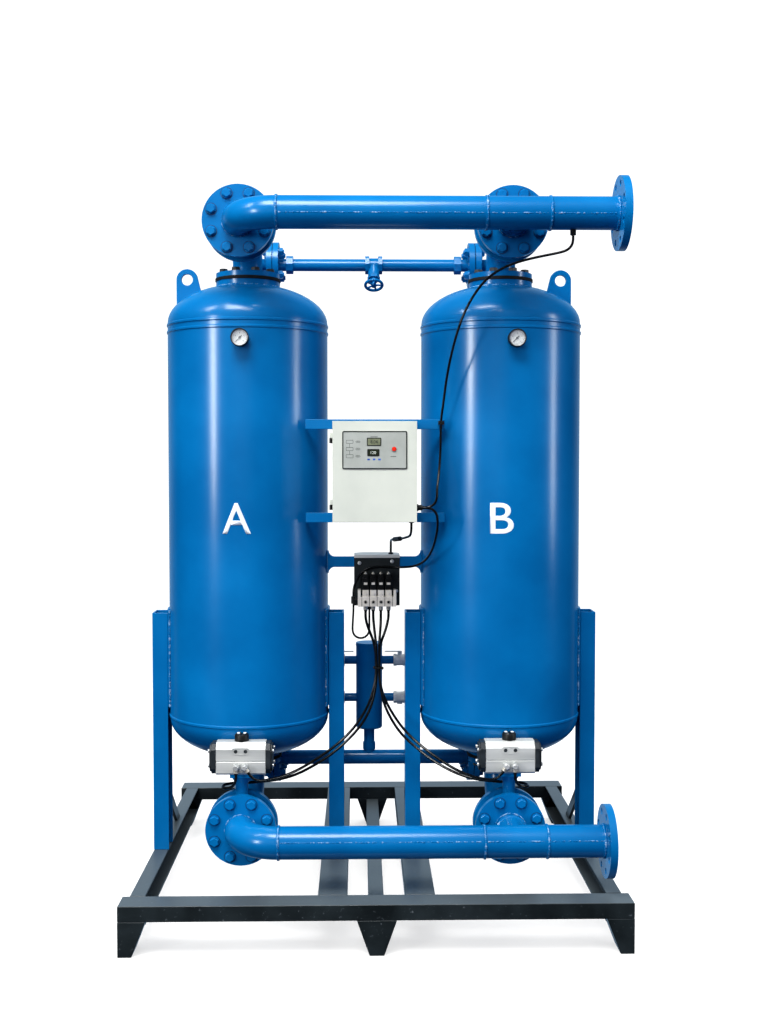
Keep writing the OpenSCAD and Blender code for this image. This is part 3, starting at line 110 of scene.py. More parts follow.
# A painted, moulded or bare surface: two tones in soft clouds, speckles of dust or scuffs (painted glints on
# the weld scales), dust and a painted sheen on faces that look up, a fine relief
def makeFinish(name, spec):
    material, tree, shader = newMaterial(name)
    place = addNode(tree, "ShaderNodeTexCoord").outputs["Object"]
    stretch = addNode(tree, "ShaderNodeMapping", {"Scale": spec["stretch"]}, {"Vector": place}).outputs[0]
    cloud = addNode(tree, "ShaderNodeTexNoise", {
        "Scale": perMetre(spec["cloudMm"]), "Detail": spec["cloudDetail"]}, {"Vector": stretch})
    tone = addNode(tree, "ShaderNodeValToRGB", {}, {"Fac": cloud.outputs["Fac"]})
    for stop, at, code in zip(tone.color_ramp.elements, spec["toneStops"], (spec["dark"], spec["light"])):
        stop.position = at
        stop.color = hexColour(code)
    fleck = addNode(tree, "ShaderNodeTexNoise", {
        "Scale": perMetre(spec["fleckMm"]), "Detail": spec["fleckDetail"], "Roughness": spec["fleckRough"]},
        {"Vector": place})
    mask = addNode(tree, "ShaderNodeMapRange", {
        "From Min": spec["fleckFrom"], "From Max": spec["fleckFull"], "To Max": spec["fleckShare"]},
        {"Value": fleck.outputs["Fac"]})
    # pale flecks: scuffs and chips on some finishes, painted glints on the weld scales
    wornAndGlinting = addNode(tree, "ShaderNodeMix", {
        "data_type": "RGBA", 7: hexColour(spec.get("fleck", spec["light"]))},
        {0: mask.outputs[0], 6: tone.outputs["Color"]})
    colour = wornAndGlinting.outputs[2]
    # faces that look up turn lighter: dust, with a painted sheen of the light from above
    if "dust" in spec:
        normal = addNode(tree, "ShaderNodeNewGeometry").outputs["Normal"]
        upward = addNode(tree, "ShaderNodeSeparateXYZ", {}, {0: normal}).outputs["Z"]
        lying = addNode(tree, "ShaderNodeMapRange", {
            "From Min": spec["dustFrom"], "From Max": spec["dustFull"], "To Max": spec["dustShare"]},
            {"Value": upward})
        dustyAndLit = addNode(tree, "ShaderNodeMix", {"data_type": "RGBA", 7: hexColour(spec["dust"])},
                        {0: lying.outputs[0], 6: colour})
        colour = dustyAndLit.outputs[2]
    low, high = spec["rough"]
    rough = addNode(tree, "ShaderNodeMapRange", {"To Min": low, "To Max": high},
                    {"Value": cloud.outputs["Fac"]})
    grain = addNode(tree, "ShaderNodeTexNoise", {
        "Scale": perMetre(spec["grainMm"]), "Detail": spec["grainDetail"]}, {"Vector": stretch})
    relief = addNode(tree, "ShaderNodeBump", {"Strength": spec["relief"], "Distance": spec["depthMm"] * mm},
                     {"Height": grain.outputs["Fac"]})
    feeds = {"Base Color": colour, "Roughness": rough.outputs[0], "Normal": relief.outputs[0]}
    for key, source in feeds.items():
        tree.links.new(source, shader.inputs[key])
    values = {"Metallic": spec["metallic"], "Coat Weight": spec["coat"], "Coat Roughness": spec["coatRough"]}
    if not spec["metallic"]:
        values["IOR"] = spec["ior"]
    for key, value in values.items():
        shader.inputs[key].default_value = value
    return material


finishColumns = ("slot", "dark", "light", "cloudMm", "rough", "grainMm", "relief")
finishes = {
    # alkyd enamel sprayed on steel: deep gloss with a faint orange peel and slow drifts of tone
    "blueEnamel": ("tower_paint", "#00649C", "#0272AD", 260, (0.19, 0.27), 9, 0.05, {"depthMm": 0.25}),
    # painted shade: the same enamel, darker and duller, in a ring round each washer where its edge casts a
    # shadow
    "washerShadeEnamel": ("tower_paint", "#022F55", "#033D6B", 20, (0.45, 0.6), 2, 0.1),
    # enamel over weld scales: the same blue, with painted glints: pale flecks where the ripples would catch
    # the light
    "weldGlintEnamel": ("tower_paint", "#00649C", "#0272AD", 40, (0.16, 0.24), 4, 0.1,
                   {"fleck": "#D4E6F4", "fleckMm": 14, "fleckFrom": 0.5, "fleckShare": 0.85}),
    # chassis paint on hot-rolled channel: charcoal, half matt, with mill marks showing through; its top
    # faces lighter with dust and a painted sheen of the light above
    "charcoalPaint": ("skid_paint", "#1B2123", "#2F373A", 120, (0.24, 0.42), 3, 0.12,
                      {"fleck": "#B4BEC3", "fleckMm": 9, "fleckFrom": 0.63, "fleckShare": 0.6,
                       "dust": "#7E888D", "dustShare": 0.32}),
    # polyester powder coat on sheet: white, satin, with its pebbled skin
    "whitePowderCoat": ("box_paint", "#C1C6BC", "#CFD3C8", 180, (0.34, 0.44), 2.5, 0.1),
    # stove enamel on thin sheet: black with a dull shine
    "blackEnamel": ("hood_paint", "#22282A", "#2E3537", 90, (0.38, 0.52), 3, 0.05),
    # polished nickel plate on brass: near white, with small dull patches
    "polishedNickel": ("bare_steel", "#D5D9D5", "#EEF1EE", 12, (0.18, 0.3), 1.5, 0.06, {"metallic": 0.15}),
    # sand-cast iron: dull and pitted
    "castIron": ("cast_body", "#22272A", "#343A3D", 40, (0.5, 0.7), 2.5, 0.4),
    # zinc-plated steel: pale grey with a soft lustre and dull patches
    "zincSteel": ("bare_steel", "#B4B8B8", "#CDD0CF", 30, (0.24, 0.42), 1.5, 0.12, {"metallic": 0.4}),
    # hard-anodised extrusion: silvery, matt, with fine drawing lines along its length
    "anodisedAluminium": ("anodised", "#B5B8B5", "#D3D5D1", 30, (0.36, 0.5), 2, 0.12,
                          {"metallic": 0.25, "stretch": (0.08, 1, 1)}),
    # epoxy-coated die casting for the end caps: black with a light sheen
    "blackDieCast": ("cap_coat", "#23282C", "#33393D", 25, (0.35, 0.5), 2, 0.2),
    # nickel-plated brass: warm silver
    "nickelBrass": ("nickel_brass", "#B9B5A8", "#D9D6CB", 8, (0.2, 0.34), 1.5, 0.08, {"metallic": 0.45}),
    # compressed-fibre and rubber gasket sheet: matt black
    "gasketSheet": ("gasket_rubber", "#0C0D0E", "#17191A", 10, (0.7, 0.85), 1.5, 0.3),
    # glass-filled polyamide: black, moulded, finely grained
    "blackPolyamide": ("black_plastic", "#0F1112", "#1C1F21", 20, (0.38, 0.52), 1.5, 0.2),
    # polyurethane tube and rubber cable: smooth black with a soft shine
    "blackTube": ("black_tube", "#0B0C0D", "#15181A", 30, (0.16, 0.26), 2, 0.05),
    # polyester overlay, printed from behind: pale grey, very even
    "overlayFilm": ("panel_film", "#9CA19B", "#A9AEA8", 60, (0.3, 0.4), 1.5, 0.06),
    # ABS, moulded and polished: red
    "redAbs": ("red_plastic", "#C8210F", "#E2331C", 10, (0.2, 0.3), 1.5, 0.03, {"coat": 0.3}),
    # ABS, moulded: light grey, satin
    "greyAbs": ("panel_film", "#7F8688", "#90979A", 40, (0.36, 0.46), 2, 0.08),
    # PBT, moulded: cream, slightly yellowed
    "creamPbt": ("cream_plastic", "#D8D3C6", "#EAE6DB", 22, (0.36, 0.48), 1.5, 0.12),
    # screen-printed inks: flat, with a hint of the mesh
    "whiteInk": ("box_paint", "#DCE6EF", "#EEF4F8", 60, (0.4, 0.5), 2, 0.04),
    "blackInk": ("black_plastic", "#15181A", "#202427", 20, (0.4, 0.5), 2, 0.04),
    "blueInk": ("panel_film", "#2B55A8", "#3566BE", 20, (0.4, 0.5), 2, 0.04),
    "greyInk": ("panel_film", "#414644", "#505553", 20, (0.4, 0.5), 2, 0.04),
    # baked enamel on the dial plates: bright white, smooth
    "whiteEnamelDial": ("box_paint", "#E4E8E4", "#F2F4F0", 15, (0.3, 0.4), 2, 0.03),
    # liquid crystal behind its window: olive grey
    "oliveDisplay": ("black_plastic", "#6F7560", "#7E846C", 14, (0.12, 0.2), 2, 0.02),
    # lit digits behind the dark window: pale, even
    "paleDigits": ("panel_film", "#C9D2C8", "#DEE6DC", 10, (0.3, 0.4), 2, 0.02),
    # tinted acrylic window over a display: dark and glossy
    "displayWindow": ("black_plastic", "#2A2F24", "#363C2F", 12, (0.08, 0.14), 2, 0.02, {"coat": 0.5}),
    # activated alumina in beads: chalky, rough, seen only in a cut view
    "aluminaBeads": ("desiccant", "#D9D5C8", "#F0EDE4", 8, (0.7, 0.9), 4, 0.6),
}
materials = {}
for name, row in finishes.items():
    spec = {**commonFinish, **dict(zip(finishColumns, row))}
    for extra in row[len(finishColumns):]:
        spec.update(extra)
    materials[name] = makeFinish(name, spec)

# clear float glass over the gauge dials: hardly seen but for its gloss
glassLook = {"Base Color": hexColour("#F2F8FA"), "Roughness": 0.03, "IOR": 1.5, "Alpha": 0.12}


def makeGlass(name):
    material, _, shader = newMaterial(name)
    for key, value in glassLook.items():
        shader.inputs[key].default_value = value
    return material


materials["floatGlass"] = makeGlass("floatGlass")
print("stage: materials", len(materials))

cameraView = {"place": (-0.0470, -3.8821, 1.3187), "turn": 0.0202, "tilt": 0.0412, "lens": 43.49,
              "sensor": 36, "reach": 100}


def setCamera():
    data = bpy.data.cameras.new("photoView")
    data.sensor_width = cameraView["sensor"]
    data.lens = cameraView["lens"]
    data.clip_end = cameraView["reach"]
    camera = addToScene("photoView", data)
    camera.location = cameraView["place"]
    camera.rotation_euler = (math.pi / 2 - cameraView["tilt"], 0, -cameraView["turn"])
    scene.camera = camera


studio = {
    "lights": [
        # name, place, aim, width, height, watts, colour
        ("keySoftbox", (-5.9, -5.7, 2.3), (-0.3, -0.3, 1.3), 0.7, 2.2, 170, "#FFFDF8"),
        ("topSoftbox", (-0.8, -2.7, 5.0), (0.0, -0.2, 1.2), 2.4, 1.8, 190, white),
        ("leftStrip", (-2.6, -1.5, 3.9), (-0.3, -0.1, 1.8), 0.3, 1.2, 22, white),
        ("rightRim", (3.9, -1.2, 2.0), (0.3, -0.1, 1.1), 0.45, 2.2, 34, white),
        ("backSoftbox", (0.8, 4.6, 4.4), (0.0, 0.2, 1.2), 2.4, 1.6, 150, white),
        ("frontFill", (-1.0, -6.2, 2.2), (0.0, 0.0, 1.0), 3.0, 2.0, 45, white),
    ],
    "unmirrored": ("backSoftbox", "frontFill"), "transform": "Standard", "look": "Medium High Contrast",
    # soft light of the room: strongest from above and the front, weak and cool from below
    "softFrom": (-0.1, -0.18, 0.98), "softLow": 0.1, "softHigh": 1.4, "coolSide": "#4463E8",
    "coolFrom": -0.1, "coolEnd": 0.6,
    # what shines mirrors a dim front and a pale wall far behind the object
    "wallWay": (0, 1, 0), "mirrorFront": 0.02, "mirrorWall": 0.7, "wallColour": "#B4D5F2", "wallFrom": 0.42,
    "wallFull": 1.0,
    "floor": "#F6F6F4", "floorRough": 0.9, "floorReach": 9.0, "floorFade": (1.4, 4.5), "floorShare": 0.45,
}


def setLights():
    for name, place, aim, width, height, watts, colour in studio["lights"]:
        data = bpy.data.lights.new(name, "AREA")
        data.shape = "RECTANGLE"
        data.size = width
        data.size_y = height
        data.energy = watts
        data.color = hexColour(colour)[:3]
        lamp = addToScene(name, data)
        lamp.location = place
        lamp.rotation_euler = (Vector(aim) - Vector(place)).to_track_quat("-Z", "Y").to_euler()
        lamp.visible_glossy = name not in studio["unmirrored"]
    scene.view_settings.view_transform = studio["transform"]
    scene.view_settings.look = studio["look"]


# three rooms in one: soft light for the surfaces, a wall for what shines, plain white for the camera
def lightRoom():
    s = studio
    world = bpy.data.worlds.new("paleRoom")
    scene.world = world
    world.use_nodes = True
    tree = world.node_tree
    way = addNode(tree, "ShaderNodeTexCoord").outputs["Generated"]
    facing = addNode(tree, "ShaderNodeVectorMath", {"operation": "DOT_PRODUCT", 1: s["softFrom"]}, {0: way})
    glow = addNode(tree, "ShaderNodeMapRange", {"To Min": s["softLow"], "To Max": s["softHigh"]},
                   {"Value": facing.outputs["Value"]})
    share = addNode(tree, "ShaderNodeMapRange", {"From Min": s["coolFrom"], "From Max": s["coolEnd"]},
                    {"Value": facing.outputs["Value"]})
    tint = addNode(tree, "ShaderNodeMix", {
        "data_type": "RGBA", 6: hexColour(s["coolSide"]), 7: hexColour(white)}, {0: share.outputs[0]})
    room = tree.nodes["Background"]
    tree.links.new(tint.outputs[2], room.inputs["Color"])
    tree.links.new(glow.outputs[0], room.inputs["Strength"])
    behind = addNode(tree, "ShaderNodeVectorMath", {"operation": "DOT_PRODUCT", 1: s["wallWay"]}, {0: way})
    wall = addNode(tree, "ShaderNodeMapRange", {
        "interpolation_type": "SMOOTHSTEP", "From Min": s["wallFrom"], "From Max": s["wallFull"],
        "To Min": s["mirrorFront"], "To Max": s["mirrorWall"]}, {"Value": behind.outputs["Value"]})
    mirrored = addNode(tree, "ShaderNodeBackground", {"Color": hexColour(s["wallColour"])},
                       {"Strength": wall.outputs[0]})
    plain = addNode(tree, "ShaderNodeBackground", {"Color": hexColour(white), "Strength": 1.0})
    path = addNode(tree, "ShaderNodeLightPath")
    inner = addNode(tree, "ShaderNodeMixShader", {}, {
        0: path.outputs["Is Glossy Ray"], 1: room.outputs[0], 2: mirrored.outputs[0]})
    mix = addNode(tree, "ShaderNodeMixShader", {}, {
        0: path.outputs["Is Camera Ray"], 1: inner.outputs[0], 2: plain.outputs[0]})
    tree.links.new(mix.outputs[0], tree.nodes["World Output"].inputs["Surface"])


# pale floor that catches the shadow and fades into the white
def layFloor():
    s = studio
    mesh = bpy.data.meshes.new("paleFloor")
    reach = s["floorReach"]
    corners = [(-reach, -reach, 0), (reach, -reach, 0), (reach, reach, 0), (-reach, reach, 0)]
    mesh.from_pydata(corners, [], [(0, 1, 2, 3)])
    floor = addToScene("paleFloor", mesh)
    paint, tree, shader = newMaterial("paleFloorPaint")
    shader.inputs["Base Color"].default_value = hexColour(s["floor"])
    shader.inputs["Roughness"].default_value = s["floorRough"]
    spot = addNode(tree, "ShaderNodeTexCoord").outputs["Object"]
    away = addNode(tree, "ShaderNodeVectorMath", {"operation": "LENGTH"}, {0: spot})
    near, far = s["floorFade"]
    fade = addNode(tree, "ShaderNodeMapRange", {
        "interpolation_type": "SMOOTHSTEP", "From Min": near, "From Max": far, "To Min": s["floorShare"],
        "To Max": 0.0}, {"Value": away.outputs["Value"]})
    tree.links.new(fade.outputs[0], shader.inputs["Alpha"])
    mesh.materials.append(paint)
    floor.visible_diffuse = False
    floor.visible_glossy = False


setCamera()
setLights()
lightRoom()
layFloor()
print("stage: camera and studio")


# a piece in its finish, on its body
def addObject(name, mesh, finish, body="dryer", smoothAngle=35):
    obj = addToScene(name, mesh)
    if not mesh.materials:
        mesh.materials.append(materials[finish])
    if smoothAngle:
        mesh.shade_smooth()
        mesh.set_sharp_from_angle(angle=math.radians(smoothAngle))
    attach(obj, body)
    return obj


edgeBreak = {"segments": 2, "angleDeg": 40}


def bevelEdges(obj, widthMm):
    bevel = obj.modifiers.new("softEdge", "BEVEL")
    bevel.width = widthMm * mm
    bevel.segments = edgeBreak["segments"]
    bevel.limit_method = "ANGLE"
    bevel.angle_limit = math.radians(edgeBreak["angleDeg"])
    bevel.harden_normals = True


# finish of each CAD node, and the width in mm that its edges are broken by
dressing = {
    "charcoalPaint": {"skid_cross_beams": 2.5, "skid_side_rails": 2.5, "skid_middle_rails": 2.5,
                      "skid_centre_rail": 2.0, "skid_feet": 1.5, "leg_braces": 1.0},
    "blueEnamel": {"outer_legs": 1.5, "inner_legs": 1.5, "leg_pads": 0.8, "tower_a": 0, "tower_b": 0,
                   "lifting_lugs": 1.5, "outlet_header": 0.8, "inlet_header": 0.8, "top_risers": 0.8,
                   "bottom_risers": 0.8, "purge_pipes": 0.8, "purge_valve": 0.8, "purge_handwheel": 0.4,
                   "exhaust_header": 0.8, "silencer": 0.8, "branch_pipes": 0.3, "inlet_valves": 0.8,
                   "box_brackets": 1.0, "tie_bar": 0.8},
    "castIron": {"check_valves": 1.0},
    "polishedNickel": {"branch_valves": 0.6, "branch_lever_a": 0.5, "branch_lever_b": 0.5},
    "blackPolyamide": {"valve_spindle_a": 0.6, "valve_spindle_b": 0.6, "gauge_cases": 0.5, "box_hinges": 0.5,
                       "solenoid_coils": 1.2, "cable_glands": 0.5},
    "anodisedAluminium": {"actuator_bodies": 1.2},
    "blackDieCast": {"actuator_caps": 1.5},
    "blackInk": {"gauge_pointer_a": 0, "gauge_pointer_b": 0},
    "floatGlass": {"gauge_glasses": 0},
    "whitePowderCoat": {"control_box": 0.8, "box_door": 0.8},
    "overlayFilm": {"control_panel": 0.3},
    "redAbs": {"red_button": 0.8},
    "zincSteel": {"controller": 0.8, "bed_screens": 0},
    "blackEnamel": {"valve_hood": 0.6},
    "creamPbt": {"solenoid_manifold": 1.0},
    "nickelBrass": {"air_fittings": 0.5},
    "gasketSheet": {"flange_gaskets": 0},
    "aluminaBeads": {"desiccant_beds": 0},
}
mergeSize = {"doubles": 2e-6, "letters": 1e-5, "flatDeg": 0.6}


# a piece is named after the node that it stands for
def pieceName(node):
    first, *rest = node.split("_")
    plain = first + "".join(word.capitalize() for word in rest)
    return {"silencer": "silencerBody", "controller": "controllerPlate"}.get(node, plain)


# A merged copy of a CAD node with broken edges, which stands for it
def dressNode(node, finish, bevelMm):
    mesh = bpy.data.meshes.new(pieceName(node))
    shape = bmesh.new()
    shape.from_mesh(nodes[node].data)
    bmesh.ops.remove_doubles(shape, verts=shape.verts, dist=mergeSize["doubles"])
    bmesh.ops.dissolve_limit(shape, angle_limit=math.radians(mergeSize["flatDeg"]), verts=shape.verts,
                             edges=shape.edges)
    shape.to_mesh(mesh)
    shape.free()
    if "custom_normal" in mesh.attributes:
        mesh.attributes.remove(mesh.attributes["custom_normal"])
    obj = addObject(pieceName(node), mesh, finish, nodes[node]["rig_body"])
    if bevelMm:
        bevelEdges(obj, bevelMm)
    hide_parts(node)


for finish, rows in dressing.items():
    for node, bevelMm in rows.items():
        dressNode(node, finish, bevelMm)
print("stage: dressed CAD pieces", sum(len(rows) for rows in dressing.values()))

# routes in millimetres, as in the part's source
cordRoutes = {
    "air_tube_a1": [
        (-27.5, -166, 870), (-27.5, -166, 852), (-24, -167, 830), (-14, -168, 802), (-4, -169, 774),
        (2, -170, 744), (3.5, -172, 710), (3, -175, 674), (-3, -180, 636), (-15, -187, 598),
        (-36, -198, 558), (-66, -212, 519), (-102, -231, 486), (-142, -256, 460), (-184, -285, 439),
        (-228, -322, 422), (-268, -359.5, 414), (-290, -380, 412.8), (-306.6, -395.6, 413.5),
        (-325, -412.6, 415.5), (-335, -420.5, 418.5), (-344.7, -425.3, 424.6), (-353.15, -427, 433.64),
        (-360.37, -427, 443.22)],
    "air_tube_a2": [
        (-4.5, -166, 870), (-4.5, -166, 852), (-3, -168, 830), (0, -173, 802), (3, -178, 774),
        (4.5, -180.5, 744), (5, -182, 710), (5, -185, 672), (1, -188, 634), (-8, -194, 594),
        (-28, -202, 549), (-59, -214, 509), (-97, -232, 475), (-138, -255, 447), (-184, -282, 424),
        (-234, -310, 406), (-290, -333, 397), (-346, -343, 394), (-376, -345.5, 393), (-400, -346, 392.5),
        (-418, -350.8, 392), (-431.2, -364, 392), (-436, -382, 392), (-432.5, -399, 392.6),
        (-423.1, -410, 394.2), (-409, -418.2, 399), (-398.2, -424.6, 411), (-394, -427, 428),
        (-394, -427, 440)],
    "air_tube_b1": [
        (41.5, -166, 870), (41.5, -166, 852), (38, -167, 830), (30, -168, 802), (20, -169, 774),
        (15, -170, 744), (13.5, -172, 710), (14, -175, 674), (20, -181, 634), (35, -188, 594),
        (57, -199, 556), (87, -214, 517), (122, -234, 485), (160, -260, 459), (200, -292, 437),
        (238, -326, 421), (272, -360, 414), (290, -380, 412.8), (306.6, -395.6, 413.5),
        (325, -412.6, 415.5), (335, -420.5, 418.5), (344.7, -425.3, 424.6), (353.15, -427, 433.64),
        (360.37, -427, 443.22)],
    "air_tube_b2": [
        (18.5, -166, 870), (18.5, -166, 852), (18, -168, 830), (16, -173, 802), (14, -178, 774),
        (13.5, -180.5, 744), (13.5, -182, 710), (14, -185, 672), (19, -190, 632), (28, -196, 592),
        (50, -205, 545), (80, -219, 504), (117, -237, 472), (157, -261, 444), (202, -288, 421),
        (250, -314, 404), (302, -334, 395), (350, -343, 392), (376, -345.5, 391), (400, -346, 390.5),
        (418, -350.8, 390), (431.2, -364, 390), (436, -382, 390.5), (432.5, -399, 392),
        (423.1, -410, 394.2), (409, -418.2, 399), (398.2, -424.6, 411), (394, -427, 428), (394, -427, 440)],
    "sensor_cable": [
        (530, -534, 1926), (530, -534, 1914), (526, -533, 1899), (515, -528, 1888), (500, -522, 1883),
        (470, -510, 1878), (430, -492, 1872), (388, -474, 1863), (345, -457, 1847), (306, -443, 1820),
        (272, -431, 1778), (244, -419, 1724), (222, -401, 1655), (208, -375, 1590), (199, -347, 1525),
        (194, -327, 1476), (190, -312, 1437), (189, -308.5, 1396), (188.5, -306.5, 1360), (187, -309, 1325),
        (184, -318, 1292), (180, -331, 1262), (177, -341, 1238), (176, -345, 1216), (172, -345, 1201),
        (161, -345, 1190), (146, -345, 1186), (133, -345, 1186)],
    "valve_cable": [
        (133, -385, 1186), (145, -385, 1186), (160, -385, 1182), (171, -385, 1171), (175, -383, 1156),
        (176, -377, 1136), (174, -362, 1109), (169, -336, 1080), (161, -303, 1053), (149, -265, 1030),
        (130, -223, 1012), (101, -184, 1001.5), (64, -159, 998.5), (22, -152, 999), (-12, -152, 996),
        (-38, -154, 982), (-55, -160, 958), (-63, -165, 934), (-64, -166, 921), (-64, -166, 911)],
    "hood_cable": [
        (104, -320, 1140), (104, -320, 1132), (103.5, -315.7, 1116), (101.5, -304, 1104.5),
        (98, -290, 1099.5), (92, -272, 1096), (84, -250, 1092), (75, -226, 1089), (66, -202, 1086.5),
        (59, -179, 1084), (54, -157, 1082), (51.5, -138, 1080), (50, -124, 1075.7), (50, -112.3, 1064),
        (50, -108, 1048), (50, -108, 1040)],
    "loop_cable": [
        (-64, -166, 889), (-64, -166, 876), (-64.4, -166, 862), (-65.4, -165.5, 845), (-66.3, -165, 827),
        (-66.5, -164, 809), (-63.2, -163, 796.5), (-54, -162, 787.3), (-41.5, -160, 784),
        (-29, -158, 787.3), (-19.8, -156.5, 796.5), (-16.5, -155, 809), (-16, -154, 831), (-16, -153, 852),
        (-16, -153, 870)],
}
# diameter in mm and stiffness of each cord
cordKinds = {"air_tube_a1": (8, "stiff"), "air_tube_a2": (8, "stiff"), "air_tube_b1": (8, "stiff"),
             "air_tube_b2": (8, "stiff"), "sensor_cable": (7, "medium"), "valve_cable": (7, "medium"),
             "hood_cable": (7, "medium"), "loop_cable": (6, "medium")}
cordMesh = {"stepsPerSpan": 5, "roundness": 4}


# smooth curve through the route's points, without a kink in its bend, straight at both ends
def smoothRoute(route, steps):
    knots = np.array(route) * mm
    gaps = np.linalg.norm(np.diff(knots, axis=0), axis=1)
    ways = np.diff(knots, axis=0) / gaps[:, None]
    count = len(knots)
    grid = np.eye(count)
    slopes = np.zeros((count, 3))
    slopes[0] = ways[0]
    slopes[-1] = ways[-1]
    for i in range(1, count - 1):
        grid[i, i - 1:i + 2] = gaps[i], 2 * (gaps[i - 1] + gaps[i]), gaps[i - 1]
        slopes[i] = 3 * (gaps[i] * ways[i - 1] + gaps[i - 1] * ways[i])
    slopes = np.linalg.solve(grid, slopes)
    line = []
    for i in range(count - 1):
        for k in range(steps):
            s = k / steps
            line.append(knots[i] * (1 + 2 * s) * (1 - s) ** 2 + knots[i + 1] * s * s * (3 - 2 * s)
                        + gaps[i] * (slopes[i] * s * (1 - s) ** 2 - slopes[i + 1] * s * s * (1 - s)))
    return [Vector(spot) for spot in [*line, knots[-1]]]


def layCord(node, diameterMm):
    line = smoothRoute(cordRoutes[node], cordMesh["stepsPerSpan"])
    curve = bpy.data.curves.new(pieceName(node), "CURVE")
    curve.dimensions = "3D"
    spline = curve.splines.new("POLY")
    spline.points.add(len(line) - 1)
    for knot, spot in zip(spline.points, line):
        knot.co = (*spot, 1)
    curve.bevel_depth = diameterMm / 2 * mm
    curve.bevel_resolution = cordMesh["roundness"]
    curve.use_fill_caps = True
    curve.materials.append(materials["blackTube"])
    obj = addToScene(pieceName(node), curve)
    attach(obj, "dryer")
    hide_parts(node)


for node, (diameterMm, stiffness) in cordKinds.items():
    layCord(node, diameterMm)
print("stage: cords")


def addBlock(shape, centre, size):
    place = Matrix.Translation(Vector(centre) * mm)
    bmesh.ops.create_cube(shape, size=1, matrix=place @ Matrix.Diagonal((*[s * mm for s in size], 1)))


def addRod(shape, start, end, radius, sides=24, endRadius=None):
    a = Vector(start) * mm
    b = Vector(end) * mm
    turn = (b - a).to_track_quat("Z", "Y").to_matrix().to_4x4()
    bmesh.ops.create_cone(shape, cap_ends=True, segments=sides, radius1=radius * mm,
                          radius2=(radius if endRadius is None else endRadius) * mm, depth=(b - a).length,
                          matrix=Matrix.Translation((a + b) / 2) @ turn)


# how deep small trim is set into the face that it stands on
rootMm = 1


# rod along -Y from one depth to another, at a place on the front
def addPeg(shape, x, z, backY, frontY, radius, sides=24, endRadius=None):
    addRod(shape, (x, backY, z), (x, frontY, z), radius, sides, endRadius)


# rods end to end along Z, from pairs of height and radius
def addTurned(shape, profile, sides):
    for (z, radius), (nextZ, nextRadius) in zip(profile, profile[1:]):
        addRod(shape, (0, 0, z), (0, 0, nextZ), radius, sides, nextRadius)


def joinLoops(shape, loops):
    for inner, outer in zip(loops, [*loops[1:], loops[0]]):
        for i in range(len(inner)):
            j = (i + 1) % len(inner)
            shape.faces.new((inner[i], inner[j], outer[j], outer[i]))


# hollow rod: a ring with square edges
def addTube(shape, start, end, innerR, outerR, sides=48):
    a = Vector(start) * mm
    b = Vector(end) * mm
    turn = (b - a).to_track_quat("Z", "Y")
    angles = [2 * math.pi * i / sides for i in range(sides)]
    loops = []
    for radius, foot in ((innerR, a), (innerR, b), (outerR, b), (outerR, a)):
        arms = [Vector((radius * mm * math.cos(s), radius * mm * math.sin(s), 0)) for s in angles]
        loops.append([shape.verts.new(foot + turn @ arm) for arm in arms])
    joinLoops(shape, loops)


cornerSteps = 5
leastCorner = 0.6


# frame with rounded corners in the XZ plane, between two depths
def addRoundFrame(shape, centre, size, corner, width, backY, frontY):
    loops = []
    for inset, y in ((0, backY), (0, frontY), (width, frontY), (width, backY)):
        loop = []
        radius = max(corner - inset, leastCorner)
        for signX, signZ, start in ((1, 1, 0), (-1, 1, 90), (-1, -1, 180), (1, -1, 270)):
            for k in range(cornerSteps + 1):
                t = math.radians(start + k * 90 / cornerSteps)
                x = centre[0] + signX * (size[0] / 2 - inset - radius) + radius * math.cos(t)
                z = centre[1] + signZ * (size[1] / 2 - inset - radius) + radius * math.sin(t)
                loop.append(shape.verts.new(Vector((x, y, z)) * mm))
        loops.append(loop)
    joinLoops(shape, loops)


# mesh of a finished shape, with its faces outwards
def closeShape(shape, name):
    bmesh.ops.recalc_face_normals(shape, faces=shape.faces)
    mesh = bpy.data.meshes.new(name)
    shape.to_mesh(mesh)
    shape.free()
    return mesh


def finishShape(shape, name, finish, body="dryer", bevelMm=0.0, smoothAngle=35):
    obj = addObject(name, closeShape(shape, name), finish, body, smoothAngle)
    if bevelMm:
        bevelEdges(obj, bevelMm)


# plain mesh of what an object's text or modifiers make; the object itself goes
def bakeMesh(holder):
    bpy.context.view_layer.update()
    mesh = bpy.data.meshes.new_from_object(holder.evaluated_get(bpy.context.evaluated_depsgraph_get()))
    holder.modifiers.clear()
    bpy.data.objects.remove(holder)
    return mesh


scatterSeed = 7


